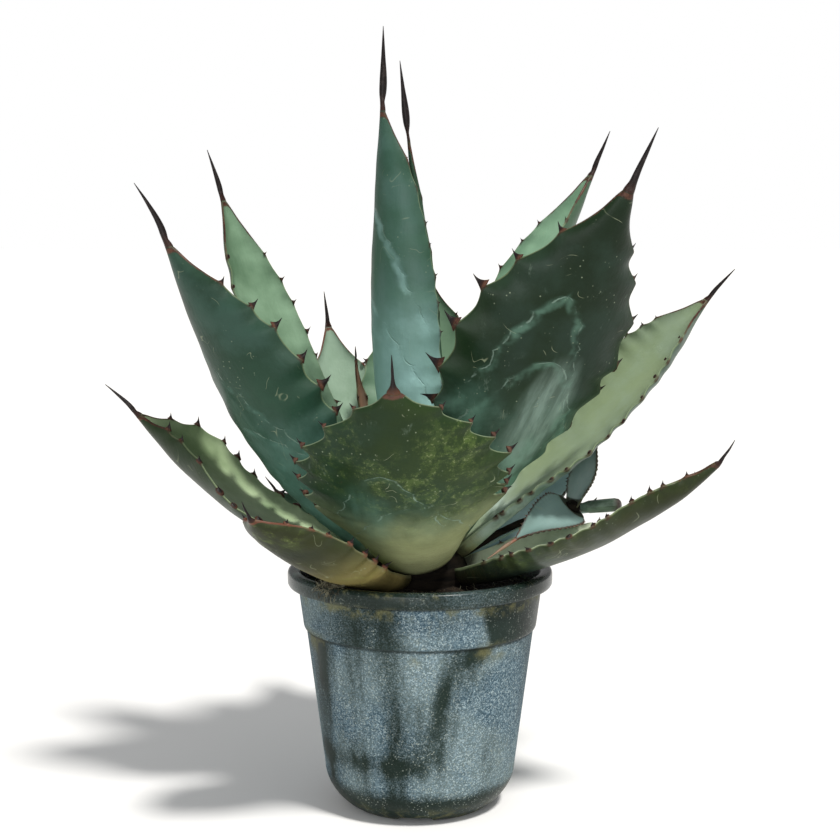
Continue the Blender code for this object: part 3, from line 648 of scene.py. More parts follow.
# a print is (centre across, top, half width, height, scallop depth, scallop pitch), and
# a rubbed place (centre across, centre along, half width, half length, strength), all but the strength in mm
leafPlans = {
    "leaf_centre_tall": {
        "outerDark": (0.022, 0.062, 0.040), "outerLight": (0.070, 0.155, 0.105), "bloom": 1.0, "bloomReach": 0.66,
        "bloomTone": (0.47, 0.76, 0.74), "topShade": 0.95, "evenBloom": 0.06, "wear": 0.35, "printLine": 0.2,
        "innerLight": (0.20, 0.33, 0.24), "prints": [(-26, 190, 72, 120, 3.4, 17), (-16, 262, 50, 90, 2.4, 13)],
        "teeth": (13, 0.15, 0.88, 2.2), "scallopInset": 0.5, "quilt": 0.3,
        "scuffs": 0.35, "unevenScale": 0.8},
    "bud_leaf": {"slot": "leaf_bud", "unevenScale": 0.3, "bloom": 0.1, "scuffs": 0.1, "quilt": 0.0,
                 "teeth": (6, 0.2, 0.85, 1.5), "scallopInset": 0.3},
    "leaf_front": {
        "outerDark": (0.006, 0.018, 0.004), "outerLight": (0.036, 0.062, 0.014), "bloom": 0.55, "bloomReach": 0.66,
        "bloomTone": (0.055, 0.11, 0.075), "innerLight": (0.15, 0.25, 0.15), "footColourAndShade": (0.62, 0.66, 0.33),
        "rubs": [(18, 76, 22, 12, 0.10), (-30, 90, 22, 40, 0.28)], "rubTone": (0.13, 0.26, 0.20),
        "footReach": 0.52, "mottle": 0.8, "mottleSide": 0.5, "mottleTone": (0.10, 0.155, 0.035), "litSidePaint": 0.75,
        "edgeTone": (0.26, 0.32, 0.20), "brown": (0.075, 0.036, 0.028), "brownSpread": 0.4, "decurrent": 0.0,
        "seatSwell": 0.15, "spineBase": (0.085, 0.036, 0.020),
        "prints": [(4, 104, 56, 70, 3.6, 19), (-14, 140, 40, 60, 3.0, 15)], "teeth": (7, 0.34, 0.89, 12.0),
        "pace": 1.35, "scallop": 0.95, "scallopInset": 3.6, "toothScale": 0.60, "quilt": 0.8, "scuffs": 1.0,
        "slot": "leaf_dark_green"},
    "leaf_left_tall": {
        "outerDark": (0.006, 0.021, 0.010), "outerLight": (0.026, 0.072, 0.044), "bloom": 0.65, "bloomReach": 0.55,
        "rubs": [(-10, 150, 14, 40, 0.15)], "topShade": 0.9, "evenBloom": 0.18, "wear": 0.55,
        "bloomTone": (0.19, 0.39, 0.32), "prints": [(-30, 222, 74, 150, 3.8, 20), (-16, 150, 66, 90, 3.0, 16)],
        "teeth": (10, 0.14, 0.86, 7.0), "scallopInset": 1.8, "quilt": 1.1, "scuffs": 0.6},
    "leaf_right_tall": {
        "outerDark": (0.002, 0.008, 0.002), "outerLight": (0.010, 0.026, 0.009), "bloom": 0.80, "bloomReach": 0.52,
        "bloomTone": (0.27, 0.52, 0.39), "evenBloom": 0.05, "rubs": [(16, 130, 23, 60, 0.62)],
        "rubTone": (0.27, 0.38, 0.32), "prints": [(-8, 240, 50, 120, 3.8, 20), (4, 185, 58, 100, 3.4, 18)],
        "teeth": (9, 0.14, 0.86, 7.5), "scallopInset": 1.8, "quilt": 1.1, "scuffs": 1.0, "slot": "leaf_dark_green",
        "toothScale": 1.45},
    "leaf_left_inner": {
        "innerDark": (0.09, 0.17, 0.085), "innerLight": (0.30, 0.46, 0.31), "bloom": 0.25, "scuffs": 0.15,
        "teeth": (11, 0.15, 0.84, 3.6), "decurrent": 1.0, "slot": "leaf_pale_face"},
    "leaf_right_inner": {
        "innerDark": (0.16, 0.30, 0.18), "innerLight": (0.38, 0.60, 0.41), "bloom": 0.25, "scuffs": 0.2,
        "outerDark": (0.05, 0.09, 0.055), "outerLight": (0.13, 0.22, 0.14),
        "teeth": (12, 0.15, 0.84, 3.6), "slot": "leaf_pale_face"},
    "leaf_back_right": {
        "innerDark": (0.11, 0.20, 0.12), "innerLight": (0.22, 0.35, 0.23), "bloom": 0.2, "scuffs": 0.1,
        "teeth": (9, 0.15, 0.84, 3.4), "slot": "leaf_pale_face"},
    "leaf_back_left": {
        "innerDark": (0.18, 0.29, 0.18), "innerLight": (0.40, 0.55, 0.42), "bloom": 0.3, "scuffs": 0.1,
        "brown": (0.16, 0.07, 0.05), "teeth": (8, 0.15, 0.80, 4.0), "slot": "leaf_pale_face"},
    "leaf_right_low": {
        "innerDark": (0.19, 0.26, 0.13), "innerLight": (0.34, 0.43, 0.25), "bloom": 0.55, "bloomReach": 0.40,
        "bloomTone": (0.74, 0.90, 0.82), "outerDark": (0.02, 0.04, 0.02), "scuffs": 0.2,
        "teeth": (17, 0.16, 0.86, 4.0), "teethOther": (13, 0.12, 0.84, 4.2), "toothScale": 0.8,
        "slot": "leaf_pale_face"},
    "leaf_right_under": {
        # its tones are raised far past a leaf's own: painted light, lifting it out of the shade of the leaves over it
        "outerDark": (0.20, 0.32, 0.32), "outerLight": (0.50, 0.76, 0.78), "innerDark": (0.28, 0.44, 0.44),
        "innerLight": (0.60, 0.82, 0.84), "bloom": 0.3, "scuffs": 0.3, "slot": "leaf_dark_green", **calmShape},
    "leaf_right_lowest": {
        # its inner face's tones are raised far past a leaf's own: painted light against the shade of the leaves over it
        "innerDark": (0.48, 0.56, 0.38), "innerLight": (0.76, 0.84, 0.64), "outerDark": (0.010, 0.014, 0.003),
        # its foot is painted near black, painted shade where it sits in the dark by the soil
        "outerLight": (0.036, 0.044, 0.012), "bloom": 0.08, "footColourAndShade": (0.010, 0.012, 0.006),
        "footReach": 0.24, "mottle": 0.3, "scuffs": 0.6,
        "teeth": (12, 0.12, 0.90, 3.8), "pace": 1.0, "quilt": 0.8, "brown": (0.05, 0.024, 0.014),
        "slot": "leaf_olive"},
    "leaf_left_lowest": {
        "innerDark": (0.22, 0.31, 0.15), "innerLight": (0.54, 0.67, 0.42), "outerDark": (0.012, 0.022, 0.008),
        "outerLight": (0.030, 0.046, 0.020), "bloom": 0.1, "scuffs": 0.4, "teeth": (10, 0.12, 0.88, 6.0),
        "scallopInset": 1.6, "quilt": 0.2, "slot": "leaf_olive"},
    "leaf_front_left": {
        "outerDark": (0.010, 0.013, 0.003), "outerLight": (0.045, 0.052, 0.014), "footColourAndShade": (0.44, 0.34, 0.12),
        "footReach": 0.74, "footStainAndShadeReach": 0.10, "bloom": 0.05, "mottle": 0.5, "brown": (0.12, 0.042, 0.025),
        "edgeTone": (0.20, 0.19, 0.10),
        "brownSpread": 0.8, "teeth": (7, 0.30, 0.88, 4.6), "pace": 1.0, "scuffs": 0.8,
        "slot": "leaf_olive"},
    "leaf_dried": {
        "outerDark": (0.13, 0.040, 0.022), "outerLight": (0.34, 0.20, 0.12), "innerDark": (0.17, 0.06, 0.035),
        "innerLight": (0.48, 0.36, 0.25), "bloom": 0.0, "scuffs": 0.6, "teeth": (6, 0.2, 0.8, 2.0),
        "slot": "leaf_dried"},
    "leaf_back_low_left": dict(calmShape),
    "leaf_back_low": dict(calmShape),
    "leaf_back_low_right": dict(calmShape),
    "offset_leaf_drooping": {
        "innerDark": (0.14, 0.23, 0.21), "innerLight": (0.26, 0.38, 0.36), "outerDark": (0.14, 0.22, 0.20),
        "outerLight": (0.26, 0.38, 0.36), "bloomTone": (0.27, 0.40, 0.40), "footReach": 0.02,
        "spineDark": (0.24, 0.16, 0.11), "spineBase": (0.26, 0.10, 0.07), "edgeTone": (0.12, 0.09, 0.07),
        "scuffs": 0.3, "unevenScale": 0.3, "quilt": 0.2, "teeth": (16, 0.1, 0.92, 1.3), "scallopInset": 0.3,
        "brown": (0.045, 0.02, 0.016), "slot": "offset_blue"},
    "offset_leaf_upright": {
        "innerDark": (0.17, 0.24, 0.22), "innerLight": (0.32, 0.40, 0.38), "outerDark": (0.15, 0.21, 0.20),
        "outerLight": (0.29, 0.37, 0.36), "bloom": 0.3, "footReach": 0.02, "scuffs": 0.6, "unevenScale": 0.3,
        "quilt": 0.2, "teeth": (14, 0.1, 0.92, 1.3), "scallopInset": 0.3, "mottle": 0.8,
        "mottleTone": (0.16, 0.085, 0.07), "slot": "offset_blue"},
    "offset_leaf_back": {"footReach": 0.02, "unevenScale": 0.3, "quilt": 0.2, "teeth": (14, 0.1, 0.92, 1.2),
                         "scallopInset": 0.3, "slot": "offset_blue"},
}


def leafLook(name, paint):
    look = Look(name + "Skin")
    plot = look.add("ShaderNodeAttribute", {"attribute_name": "plot"}, output="Vector")
    marks = look.add("ShaderNodeAttribute", {"attribute_name": "marks"}, output="Vector")
    across, along, inner = plot.parts()
    edge, seat, horn = marks.parts()
    acrossMm, alongMm = across * 1000, along * 1000
    shift = (paint["seed"], 0.3 * paint["seed"], 0)
    where = look.add("ShaderNodeVectorMath", {"operation": "ADD"}, {0: look.here(), 1: shift})
    share = along / paint["length"]

    cloud = look.noise(where, 17, 3, 0.5)
    patch = look.noise(where, 42, 4, 0.6)
    grain = look.noise(where, 260, 3, 0.6)
    fibre = look.noise(look.vector(across * 420, along * 16, inner), 1.0, 2, 0.5)
    tone = ((cloud - 0.5) * 2.6 + 0.5 + (patch - 0.5) * 0.9 + (fibre - 0.5) * 0.16).clip()
    # painted light: towards one margin the outer face is painted lighter, standing for the side that the sun falls on
    side = (acrossMm / paint["halfWidth"] + (cloud - 0.5) * 1.2).rise(-0.5, 0.5)
    outerTone = tone * (1 - paint["litSidePaint"]) + side * tone.most(0.45) * paint["litSidePaint"]
    outerSkin = look.blend(outerTone, paint["outerDark"], paint["outerLight"])
    innerSkin = look.blend(tone, paint["innerDark"], paint["innerLight"])
    look.skin = look.blend(inner.rise(0.3, 0.7), outerSkin, innerSkin)

    upper = (share + (cloud - 0.5) * 0.4).rise(0.45, 0.95) * (1 - inner * 0.6)
    look.coat(upper * paint["topShade"], paint["outerDark"])

    # waxy bloom, worn off where the leaf was rubbed
    worn = (cloud * 0.7 + patch * 0.5).rise(0.42, 0.72)
    bloomed = (1 - share.rise(paint["bloomReach"] * 0.35, paint["bloomReach"])) * (1 - worn * paint["wear"])
    # the bloom thins on the painted lit side, part of that painted light
    bloomed = (bloomed + (1 - worn) * paint["evenBloom"]) * (1 - side * paint["litSidePaint"] * 0.8) * paint["bloom"]
    look.coat(bloomed, paint["bloomTone"])

    # mottling, with fine speckle in it
    if paint["mottle"]:
        zone = look.noise(where, 13, 2).rise(0.42, 0.60) * (1 - paint["mottleSide"] + side * paint["mottleSide"])
        freckle = look.noise(where, 75, 5, 0.75).rise(0.46, 0.64)
        speck = look.noise(where, 420, 2, 0.7).rise(0.54, 0.66) * freckle
        look.coat(freckle * zone * paint["mottle"] * 0.55, paint["mottleTone"])
        look.coat(speck * zone * paint["mottle"] * 0.5, paint["speckTone"])

    # the foot takes its own tone with fine creases across it: paler and yellower, as new tissue is, and on leaf_front
    # and leaf_front_left raised further as painted light against the shade on their feet; on leaf_right_lowest near
    # black, painted shade
    footed = (1 - (share + (patch - 0.5) * 0.16).rise(0.0, paint["footReach"])) * (1 - inner * 0.6)
    crease = look.noise(look.vector(across * 40, along * 520, inner), 1.0, 3, 0.6)
    creased = crease.near(0.5, 0.004, 0.03) * footed
    look.coat(footed * 0.85, paint["footColourAndShade"])
    look.coat(creased * 0.35, paint["creaseTone"])

    # darkened to near black at the very foot: a soil stain, and painted shade where the foot goes down into the dark
    footStainedAndShaded = (1 - (share + (patch - 0.5) * 0.05).rise(0.0, paint["footStainAndShadeReach"])) * 0.88
    look.coat(footStainedAndShaded, paint["footStainAndShadeTone"])

    # prints that the neighbouring leaf's teeth pressed into this one in the bud
    line, field = look.value(0.0), look.value(0.0)
    for centre, top, halfWidth, height, deep, pitch in paint["prints"]:
        drop = (top - alongMm) / height
        arch = drop.most(0.0).math("SQRT") * halfWidth
        scallops = abs((alongMm * (math.pi / pitch)).math("SINE")) ** 0.6 * deep
        away = abs(acrossMm - centre + (patch - 0.5) * 9) - arch + scallops
        steep = (1 + (drop.most(0.06) ** -0.5 * (halfWidth / height * 0.5)) ** 2).math("SQRT")
        away = away / steep + (grain - 0.5) * 1.0
        below = drop.rise(-0.1, 0.02) * (1 - drop.rise(0.9, 1.2))
        line = line.most((1 - abs(away).rise(0.1, 1.0)) * below)
        field = field.most((1 - abs(away + 2.2).rise(0.5, 6.0)) * below)
    line = line * look.noise(where, 75, 3, 0.6).rise(0.44, 0.60) * (1 - inner)
    field = field * look.noise(where, 36, 3, 0.6).rise(0.40, 0.62) * (1 - inner)
    look.coat(field * 0.22, paint["bloomTone"])
    look.coat(line * paint["printLine"], paint["printTone"])

    # places rubbed pale, streaked along the leaf
    drag = look.noise(look.vector(across * 120, along * 22, inner), 1.0, 4, 0.6).rise(0.32, 0.68)
    for spotAcross, spotAlong, halfWide, halfLong, strength in paint["rubs"]:
        offAcross = (acrossMm - spotAcross + (cloud - 0.5) * 20) / halfWide
        off = offAcross ** 2 + ((alongMm - spotAlong) / halfLong) ** 2
        rubbed = (1 - off.rise(0.1, 1.3)) * (0.4 + drag * 0.6) * strength * (1 - inner)
        look.coat(rubbed, paint["rubTone"])

    # pale scratches and scuffs, in short lengths
    vein = look.noise(where, 34, 1, 0.4, 1.1)
    scratch = vein.near(0.5, 0.001, 0.008) * look.noise(where, 48, 1).rise(0.60, 0.66)
    scuff = look.noise(look.stretch(where, 1, 1, 0.4), 70, 5, 0.75).rise(0.58, 0.74)
    scuff = scuff * look.noise(where, 15, 2).rise(0.50, 0.66)
    fleck = (1 - look.cells(where, 210).rise(0.05, 0.17)) * look.noise(where, 35, 2).rise(0.50, 0.62)
    look.coat(scratch * 0.5 * paint["scuffs"], paint["scratchTone"])
    look.coat(scuff * 0.40 * paint["scuffs"], paint["scuffTone"])
    look.coat(fleck * (0.2 + 0.35 * paint["scuffs"]), paint["fleckTone"])

    # margin: a fine pale line, brown round the teeth and towards the spine
    rim = 1 - (edge + (patch - 0.5) * 1.2).rise(0.3, 1.1)
    nearTooth = (1 - (seat + (patch - 0.5) * 5).rise(1.0, 5.0)) * (1 - (edge + (grain - 0.5) * 2).rise(0.4, 2.6))
    shade = 1 - (edge + (cloud - 0.5) * 8).rise(1.0, 12.0)
    look.coat(shade * 0.22, paint["edgeShade"])
    look.coat(rim * 0.5, paint["edgeTone"])
    look.coat((nearTooth * (0.4 + patch * 0.8) * paint["brownSpread"]).clip(), paint["brown"])
    crust = look.noise(where, 130, 4, 0.7)
    brownEdge = (horn.least(1.0) + (crust - 0.5) * 1.3).rise(0.2, 0.75) * (1 - horn.rise(0.995, 1.01))
    crustTone = look.blend(crust.rise(0.42, 0.60), paint["brown"], paint["crustTone"])
    look.coat(brownEdge, look.blend(0.5, paint["brown"], crustTone))

    # spine and teeth
    isHorn = horn.rise(0.99, 1.03)
    hornTone = look.blend((horn - 1 + (crust - 0.5) * 0.12).rise(0.0, 0.26), paint["spineBase"], paint["spineDark"])
    hornTone = look.blend((crust * grain).rise(0.24, 0.44) * 0.35, hornTone, paint["spineWorn"])
    look.coat(isHorn, hornTone)

    dull = 0.40 + bloomed * 0.30 + (patch - 0.5) * 0.22 + scuff * 0.2 + footed * 0.1
    look.feed("Roughness", (dull * (1 - isHorn) + isHorn * 0.42).clip())
    height = fibre * 0.14 + grain * 0.10 + patch * 1.1 - line * 0.7 + scuff * 0.25 - field * 0.5 - creased * 0.2
    height = height * (1 - isHorn) + isHorn * (crust * 0.5 + fibre * 0.1)
    return look.finish(height, 0.9 * mm, 0.8, Specular_IOR_Level=0.16)


def buildLeaves():
    tree = toothTree()
    for number, (name, plan) in enumerate(leafPlans.items()):
        shape = {**shapeDefaults, **plan}
        mesh, seats, skeleton = buildBlade(name, shape, number + 1)
        halfWidth = 1000 * skeleton["halfArc"].max()
        paint = {**paintDefaults, **plan, "length": skeleton["length"], "halfWidth": halfWidth, "seed": 1.7 * number}
        seatBody = newBody("seats", seats)
        leaf = grownMesh(name.replace("leaf", "blade"), mesh, tree, {
            "Seats": seatBody, "Finish": leafLook(name, paint)})
        bpy.data.objects.remove(seatBody)
        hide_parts(name)
        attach(leaf, "root")
    print("leaves:", len(leafPlans))


# ---- pot

potSizes = {
    "wall": 2.2 * mm, "segments": 160, "lipDepth": 13 * mm, "collarDepth": 47 * mm, "collarStep": 2.2 * mm,
    "collarTop": 0.921, "collarFoot": 0.880, "shoulder": 0.724, "foot": 0.505,   # shares of the lip's radius
    "shoulderHeight": 34 * mm, "footRise": 6 * mm, "footWidth": 6 * mm,
    "notches": 4, "notchAzimuth": 266, "notchWidth": 28 * mm, "notchHeight": 4.8 * mm, "notchDepth": 30 * mm,
    "lipRound": 3.4 * mm, "hub": 0.5 * mm, "weld": 0.3 * mm,
    "plasticDark": (0.005, 0.012, 0.008), "plasticLight": (0.013, 0.024, 0.019), "recessShadeTone": (0.008, 0.012, 0.010),
    "filmDark": (0.045, 0.085, 0.115), "filmLight": (0.125, 0.170, 0.175), "powder": (0.20, 0.285, 0.33),
    "pale": (0.50, 0.60, 0.61), "grain": (0.45, 0.50, 0.44), "dirt": (0.15, 0.145, 0.065),
}


def potProfile():
    low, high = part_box("pot")
    top, lip = high.z, (high.x - low.x) / 2
    s = potSizes
    foot, shoulder = s["foot"] * lip, s["shoulder"] * lip
    collarTop, collarFoot = s["collarTop"] * lip, s["collarFoot"] * lip
    collarAt = top - s["collarDepth"]
    ringIn = foot - s["footWidth"]
    points = [(0, s["footRise"]), (ringIn - 1 * mm, s["footRise"]), (ringIn, 0.6 * mm), (ringIn + 0.7 * mm, 0),
              (foot - 1.2 * mm, 0), (foot + 0.2 * mm, 0.5 * mm)]
    for step in range(1, 15):
        angle = math.pi / 2 * step / 14
        points.append((foot + (shoulder - foot) * math.sin(angle) ** 1.1,
                       s["shoulderHeight"] * (1 - math.cos(angle)) ** 0.75 + 0.5 * mm * (1 - step / 14)))
    bodyTop = collarFoot - s["collarStep"]
    for step in range(1, 24):
        share = step / 24
        points.append((shoulder + (bodyTop - shoulder) * share,
                       s["shoulderHeight"] + (collarAt - s["collarStep"] - s["shoulderHeight"]) * share))
    points += [(bodyTop, collarAt - 1.6 * mm), (collarFoot - 0.6 * mm, collarAt - 0.5 * mm),
               (collarFoot, collarAt + 0.8 * mm)]
    lipFoot = top - s["lipDepth"]
    for step in range(1, 9):
        share = step / 9
        points.append((collarFoot + (collarTop - collarFoot) * share, collarAt + (lipFoot - 1 * mm - collarAt) * share))
    points += [(collarTop + 0.4 * mm, lipFoot - 0.2 * mm), (lip - 2.6 * mm, lipFoot),
               (lip - 1.0 * mm, lipFoot + 0.5 * mm), (lip - 0.1 * mm, lipFoot + 2.0 * mm), (lip, lipFoot + 5 * mm)]
    for step in range(0, 7):
        angle = math.pi / 2 * step / 6
        points.append((lip - s["lipRound"] * (1 - math.cos(angle)), top - s["lipRound"] * (1 - math.sin(angle))))
    points += [(collarTop + 1.6 * mm, top - 0.1 * mm), (collarTop - 0.4 * mm, top - 0.8 * mm),
               (collarTop - s["wall"], top - 3 * mm),
               (bodyTop - s["wall"], collarAt), (shoulder - s["wall"], s["shoulderHeight"]),
               (foot + 11.5 * mm, s["footRise"] + 10 * mm), (foot + 2 * mm, s["footRise"] + s["wall"]),
               (0, s["footRise"] + s["wall"])]
    return points


def sweepTree():
    tree = Tree("turnedWall")
    segments = tree.input("Segments", "Int", 96)
    hub = tree.input("Hub", "Float", 0.5 * mm)
    weld = tree.input("Weld", "Float", 0.2 * mm)
    ring = tree.add("GeometryNodeCurvePrimitiveCircle", {"mode": "RADIUS"}, {"Resolution": segments, "Radius": hub})
    ring = tree.add("GeometryNodeSetCurveNormal", {"mode": "Z_UP"}, {"Curve": ring})
    outline = tree.add("GeometryNodeMeshToCurve", {}, {"Mesh": tree.entry.outputs[0]})
    wall = tree.add("GeometryNodeCurveToMesh", {}, {"Curve": ring, "Profile Curve": outline})
    whole = tree.add("GeometryNodeMergeByDistance", {}, {"Geometry": wall, "Distance": weld})
    smooth = tree.add("GeometryNodeSetShadeSmooth", {}, {"Geometry": whole})
    return tree.finish(smooth)


def potLook():
    look, s = Look("wornPlastic"), potSizes
    where = look.here()
    x, y, z = where.parts()
    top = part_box("pot")[1].z
    cloud = look.noise(where, 15, 4, 0.6)
    streaks = look.noise(look.stretch(where, 1, 1, 0.07), 36, 2, 0.5)
    brush = look.noise(look.stretch(where, 1, 1, 0.4), 34, 4, 0.65, 0.5)
    grit = look.noise(where, 950, 2, 0.8)
    grainA, grainB, grainC = look.cells(where, 1150, "Color").parts()
    speck = look.noise(where, 460, 4, 0.85)
    smear = look.noise(look.stretch(where, 1, 1, 0.55), 13, 3, 0.5, 0.8)
    # dust lies in a broad patch on the collar and in streaks on the body; the foot and the lip keep less
    wander = (brush - 0.5) * 0.030
    onLip = z.rise(top - 16 * mm, top - 12.5 * mm)
    onCollar = z.rise(top - 48.5 * mm, top - 47 * mm)
    collarDust = (x + wander).rise(-0.024, 0.004) * (1 - (x + wander + (z - top) * 0.25).rise(0.036, 0.052))
    collarDust = (collarDust * 0.80 + (1 - (x + wander).rise(-0.092, -0.050)) * 0.55 + (brush - 0.5) * 0.9 + 0.17
                  - (x + wander * 0.5).rise(0.046, 0.060) * 0.7).clip()
    inFront = 1 - y.rise(-0.02, 0.01)
    wiped = (x + wander * 0.7 - 0.013 - (z - 0.10).most(0.0) * 0.55)
    wiped = (1 - abs(wiped).rise(0.0, 0.030)) * z.rise(0.040, 0.065) * inFront
    lowDark = (z + wander * 0.3).near(0.051, 0.0, 0.014)
    # the body's dust, and on the left side a further share that is painted light, lifting the side turned away from the
    # sun
    dustOnBodyAndLight = ((smear - 0.5) * 1.8 + (streaks - 0.5) * 3.0 + (brush - 0.5) * 1.3 + 0.60 - wiped * 0.80
                - lowDark * (1 - (x + wander).rise(-0.02, 0.05)) * 0.42
                + (1 - (x + wander).rise(-0.05, -0.02)) * 0.26).clip()
    dustOnBodyAndLight = dustOnBodyAndLight * (z + wander * 0.25).rise(0.020, 0.033)
    dustAndSheen = onCollar * collarDust + (1 - onCollar) * dustOnBodyAndLight
    # painted reflection: a pale band on the front right of the lip, mixed into the dust film below, stands for the
    # glossy lip reflecting the light
    lipReflection = onLip * x.rise(0.012, 0.030) * (1 - x.rise(0.060, 0.080)) * inFront
    dustAndSheen = dustAndSheen * (1 - onLip * 0.92) + lipReflection * 0.16
    plastic = look.blend(cloud.rise(0.35, 0.65), s["plasticDark"], s["plasticLight"])
    film = look.blend(cloud.rise(0.40, 0.60), s["filmDark"], s["filmLight"])
    look.skin = look.blend(dustAndSheen.rise(0.0, 1.0) * 0.85, plastic, film)
    powder = (speck * 0.45 + grit * 0.20 + grainA * 0.45).rise(0.42, 0.78) * (0.02 + dustAndSheen * 0.98)
    look.coat(powder * 0.75, s["powder"])
    pale = (grainB * 0.7 + speck * 0.5).rise(0.74, 0.98) * (0.03 + dustAndSheen * 0.97)
    look.coat(pale * 0.60, s["pale"])
    look.coat(grainC.rise(0.93, 0.98) * (1 - onLip * 0.5) * brush.rise(0.4, 0.6) * 0.5, s["grain"])
    # olive and yellow dirt under the lip and the collar's edge
    lipDirt = z.near(top - 18 * mm, 0.001, 0.009) * look.noise(where, 30, 5, 0.75).rise(0.46, 0.60)
    bandDirt = z.near(top - 52 * mm, 0.001, 0.013) * look.noise(where, 17, 5, 0.7).rise(0.50, 0.62)
    bodyDirt = look.noise(look.stretch(where, 1, 1, 0.5), 19, 5, 0.75).rise(0.60, 0.72)
    topDirt = z.rise(top - 6 * mm, top - 2 * mm) * look.noise(where, 24, 5, 0.75).rise(0.54, 0.64)
    footDirt = (1 - z.rise(0.003, 0.020)) * look.noise(where, 80, 5, 0.75).rise(0.46, 0.62)
    dirt = lipDirt.most(bandDirt * 0.9).most(bodyDirt * 0.45).most(topDirt * 0.8).most(footDirt * 0.8)
    look.coat(dirt * (0.30 + speck * 0.4 + grainA * 0.3), s["dirt"])
    # painted shade: the plastic is painted darker along the collar's step and the lip's foot
    recessShade = z.near(top - 48.5 * mm, 0.0004, 0.0022).most(z.near(top - 14 * mm, 0.0004, 0.0020))
    look.coat(recessShade * 0.7, s["recessShadeTone"])
    dull = 0.34 + dustAndSheen * 0.36 - onLip * 0.10 + powder * 0.2 + (cloud - 0.5) * 0.15 + dirt * 0.2
    look.feed("Roughness", dull.clip())
    look.feed("Coat Weight", onLip * 0.22 * (1 - dustAndSheen * 0.5))
    height = powder * 0.35 + cloud * 0.8 + streaks * 0.4 + dirt * 0.4
    return look.finish(height, 0.5 * mm, 0.7, Specular_IOR_Level=0.10, Coat_Roughness=0.25)


def buildPot():
    hub = potSizes["hub"]
    outline = [(max(r, 0.02 * mm) - hub, -h, 0.0) for r, h in potProfile()]
    mesh = bpy.data.meshes.new("potOutline")
    mesh.from_pydata(outline, [(k, k + 1) for k in range(len(outline) - 1)], [])
    pot = grownMesh("potShell", mesh, sweepTree(), {
        "Segments": potSizes["segments"], "Hub": hub, "Weld": potSizes["weld"], "Finish": potLook()})
    tidyNormals(pot.data)
    cutNotches(pot)
    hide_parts("pot")
    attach(pot, "root")
    print("pot")


def tidyNormals(mesh):
    bm = bmesh.new()
    bm.from_mesh(mesh)
    bmesh.ops.recalc_face_normals(bm, faces=bm.faces)
    bm.to_mesh(mesh)
    bm.free()


def cutNotches(pot):
    s = potSizes
    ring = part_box("pot")[1].x * s["foot"]
    cutters = []
    for k in range(s["notches"]):
        azimuth = math.radians(s["notchAzimuth"] + 360 * k / s["notches"])
        bm = bmesh.new()
        bmesh.ops.create_cube(bm, size=1.0)
        bmesh.ops.scale(bm, vec=(s["notchDepth"], s["notchWidth"], 2 * s["notchHeight"]), verts=bm.verts)
        bmesh.ops.bevel(bm, geom=bm.edges, offset=1.2 * mm, segments=2, affect="EDGES")
        mesh = bpy.data.meshes.new("notch")
        bm.to_mesh(mesh)
        bm.free()
        cutter = newBody("notch", mesh)
        cutter.location = (ring * math.cos(azimuth), ring * math.sin(azimuth), 0)
        cutter.rotation_euler.z = azimuth
        modifier = pot.modifiers.new("notch", "BOOLEAN")
        modifier.object = cutter
        cutters.append(cutter)
    graph = bpy.context.evaluated_depsgraph_get()
    cutMesh = bpy.data.meshes.new_from_object(pot.evaluated_get(graph), depsgraph=graph)
    pot.modifiers.clear()
    pot.data = cutMesh
    pot.data.set_sharp_from_angle(angle=math.radians(40))
    for cutter in cutters:
        bpy.data.objects.remove(cutter)


# ---- soil, with loose crumbs and fibres on it, and a tuft of dead roots on the rim

soilSizes = {
    "rings": 26, "spokes": 96, "heave": 1.6 * mm, "mound": 5 * mm,
    "crumbs": 60000, "crumb": 1.6 * mm, "crumbSeed": 3,     # crumbs and fibres are counted by the square metre
    "fibres": 6500, "fibreLength": 9 * mm, "fibreGirth": 0.22 * mm, "fibreLift": 0.12, "fibreSeed": 8,
    "clumpTurn": 229, "clumpSize": 12 * mm,
    "clumpFibres": 420000, "clumpLength": 6 * mm, "clumpGirth": 0.2 * mm, "clumpLift": 1.0, "clumpSeed": 5,
    "soilDark": (0.006, 0.005, 0.005), "soilLight": (0.035, 0.026, 0.018), "bits": (0.17, 0.14, 0.10),
    "fibreDark": (0.045, 0.040, 0.026), "fibreLight": (0.24, 0.23, 0.16),
}


def soilLook():
    look = Look("darkMix")
    where = look.here()
    rough = look.noise(where, 140, 4, 0.7)
    bits = look.cells(where, 330)
    look.skin = look.blend(rough.rise(0.35, 0.7), soilSizes["soilDark"], soilSizes["soilLight"])
    look.coat((1 - bits.rise(0.08, 0.2)) * look.noise(where, 60, 2).rise(0.5, 0.6), soilSizes["bits"])
    return look.finish(rough + bits * 0.4, 1.2 * mm, 1.0, Roughness=0.92, Specular_IOR_Level=0.1)


def fibreLook():
    look = Look("dryFibre")
    dry = look.noise(look.here(), 120, 2).rise(0.4, 0.62)
    look.feed("Base Color", look.blend(dry, soilSizes["fibreDark"], soilSizes["fibreLight"]))
    look.keep(Roughness=0.85, Specular_IOR_Level=0.15)
    return look.material


def looseTree():
    tree = Tree("looseCrumbs")
    density = tree.input("Density", "Float", 30000.0)
    crumb = tree.input("Crumb", "Float", 1.5 * mm)
    seed = tree.input("Seed", "Int", 3)
    points = tree.scatter(density, seed)
    ball = tree.add("GeometryNodeMeshIcoSphere", {}, {"Radius": 0.5, "Subdivisions": 1})
    size = tree.anyVector(seed, (0.35, 0.35, 0.3), (1.5, 1.1, 0.9))
    scaled = tree.add("ShaderNodeVectorMath", {"operation": "SCALE"}, {0: size, "Scale": crumb})
    turn = tree.anyVector(11)
    crumbs = tree.add("GeometryNodeInstanceOnPoints", {}, {
        "Points": points, "Instance": ball, "Rotation": turn, "Scale": scaled})
    return tree.finish(crumbs)


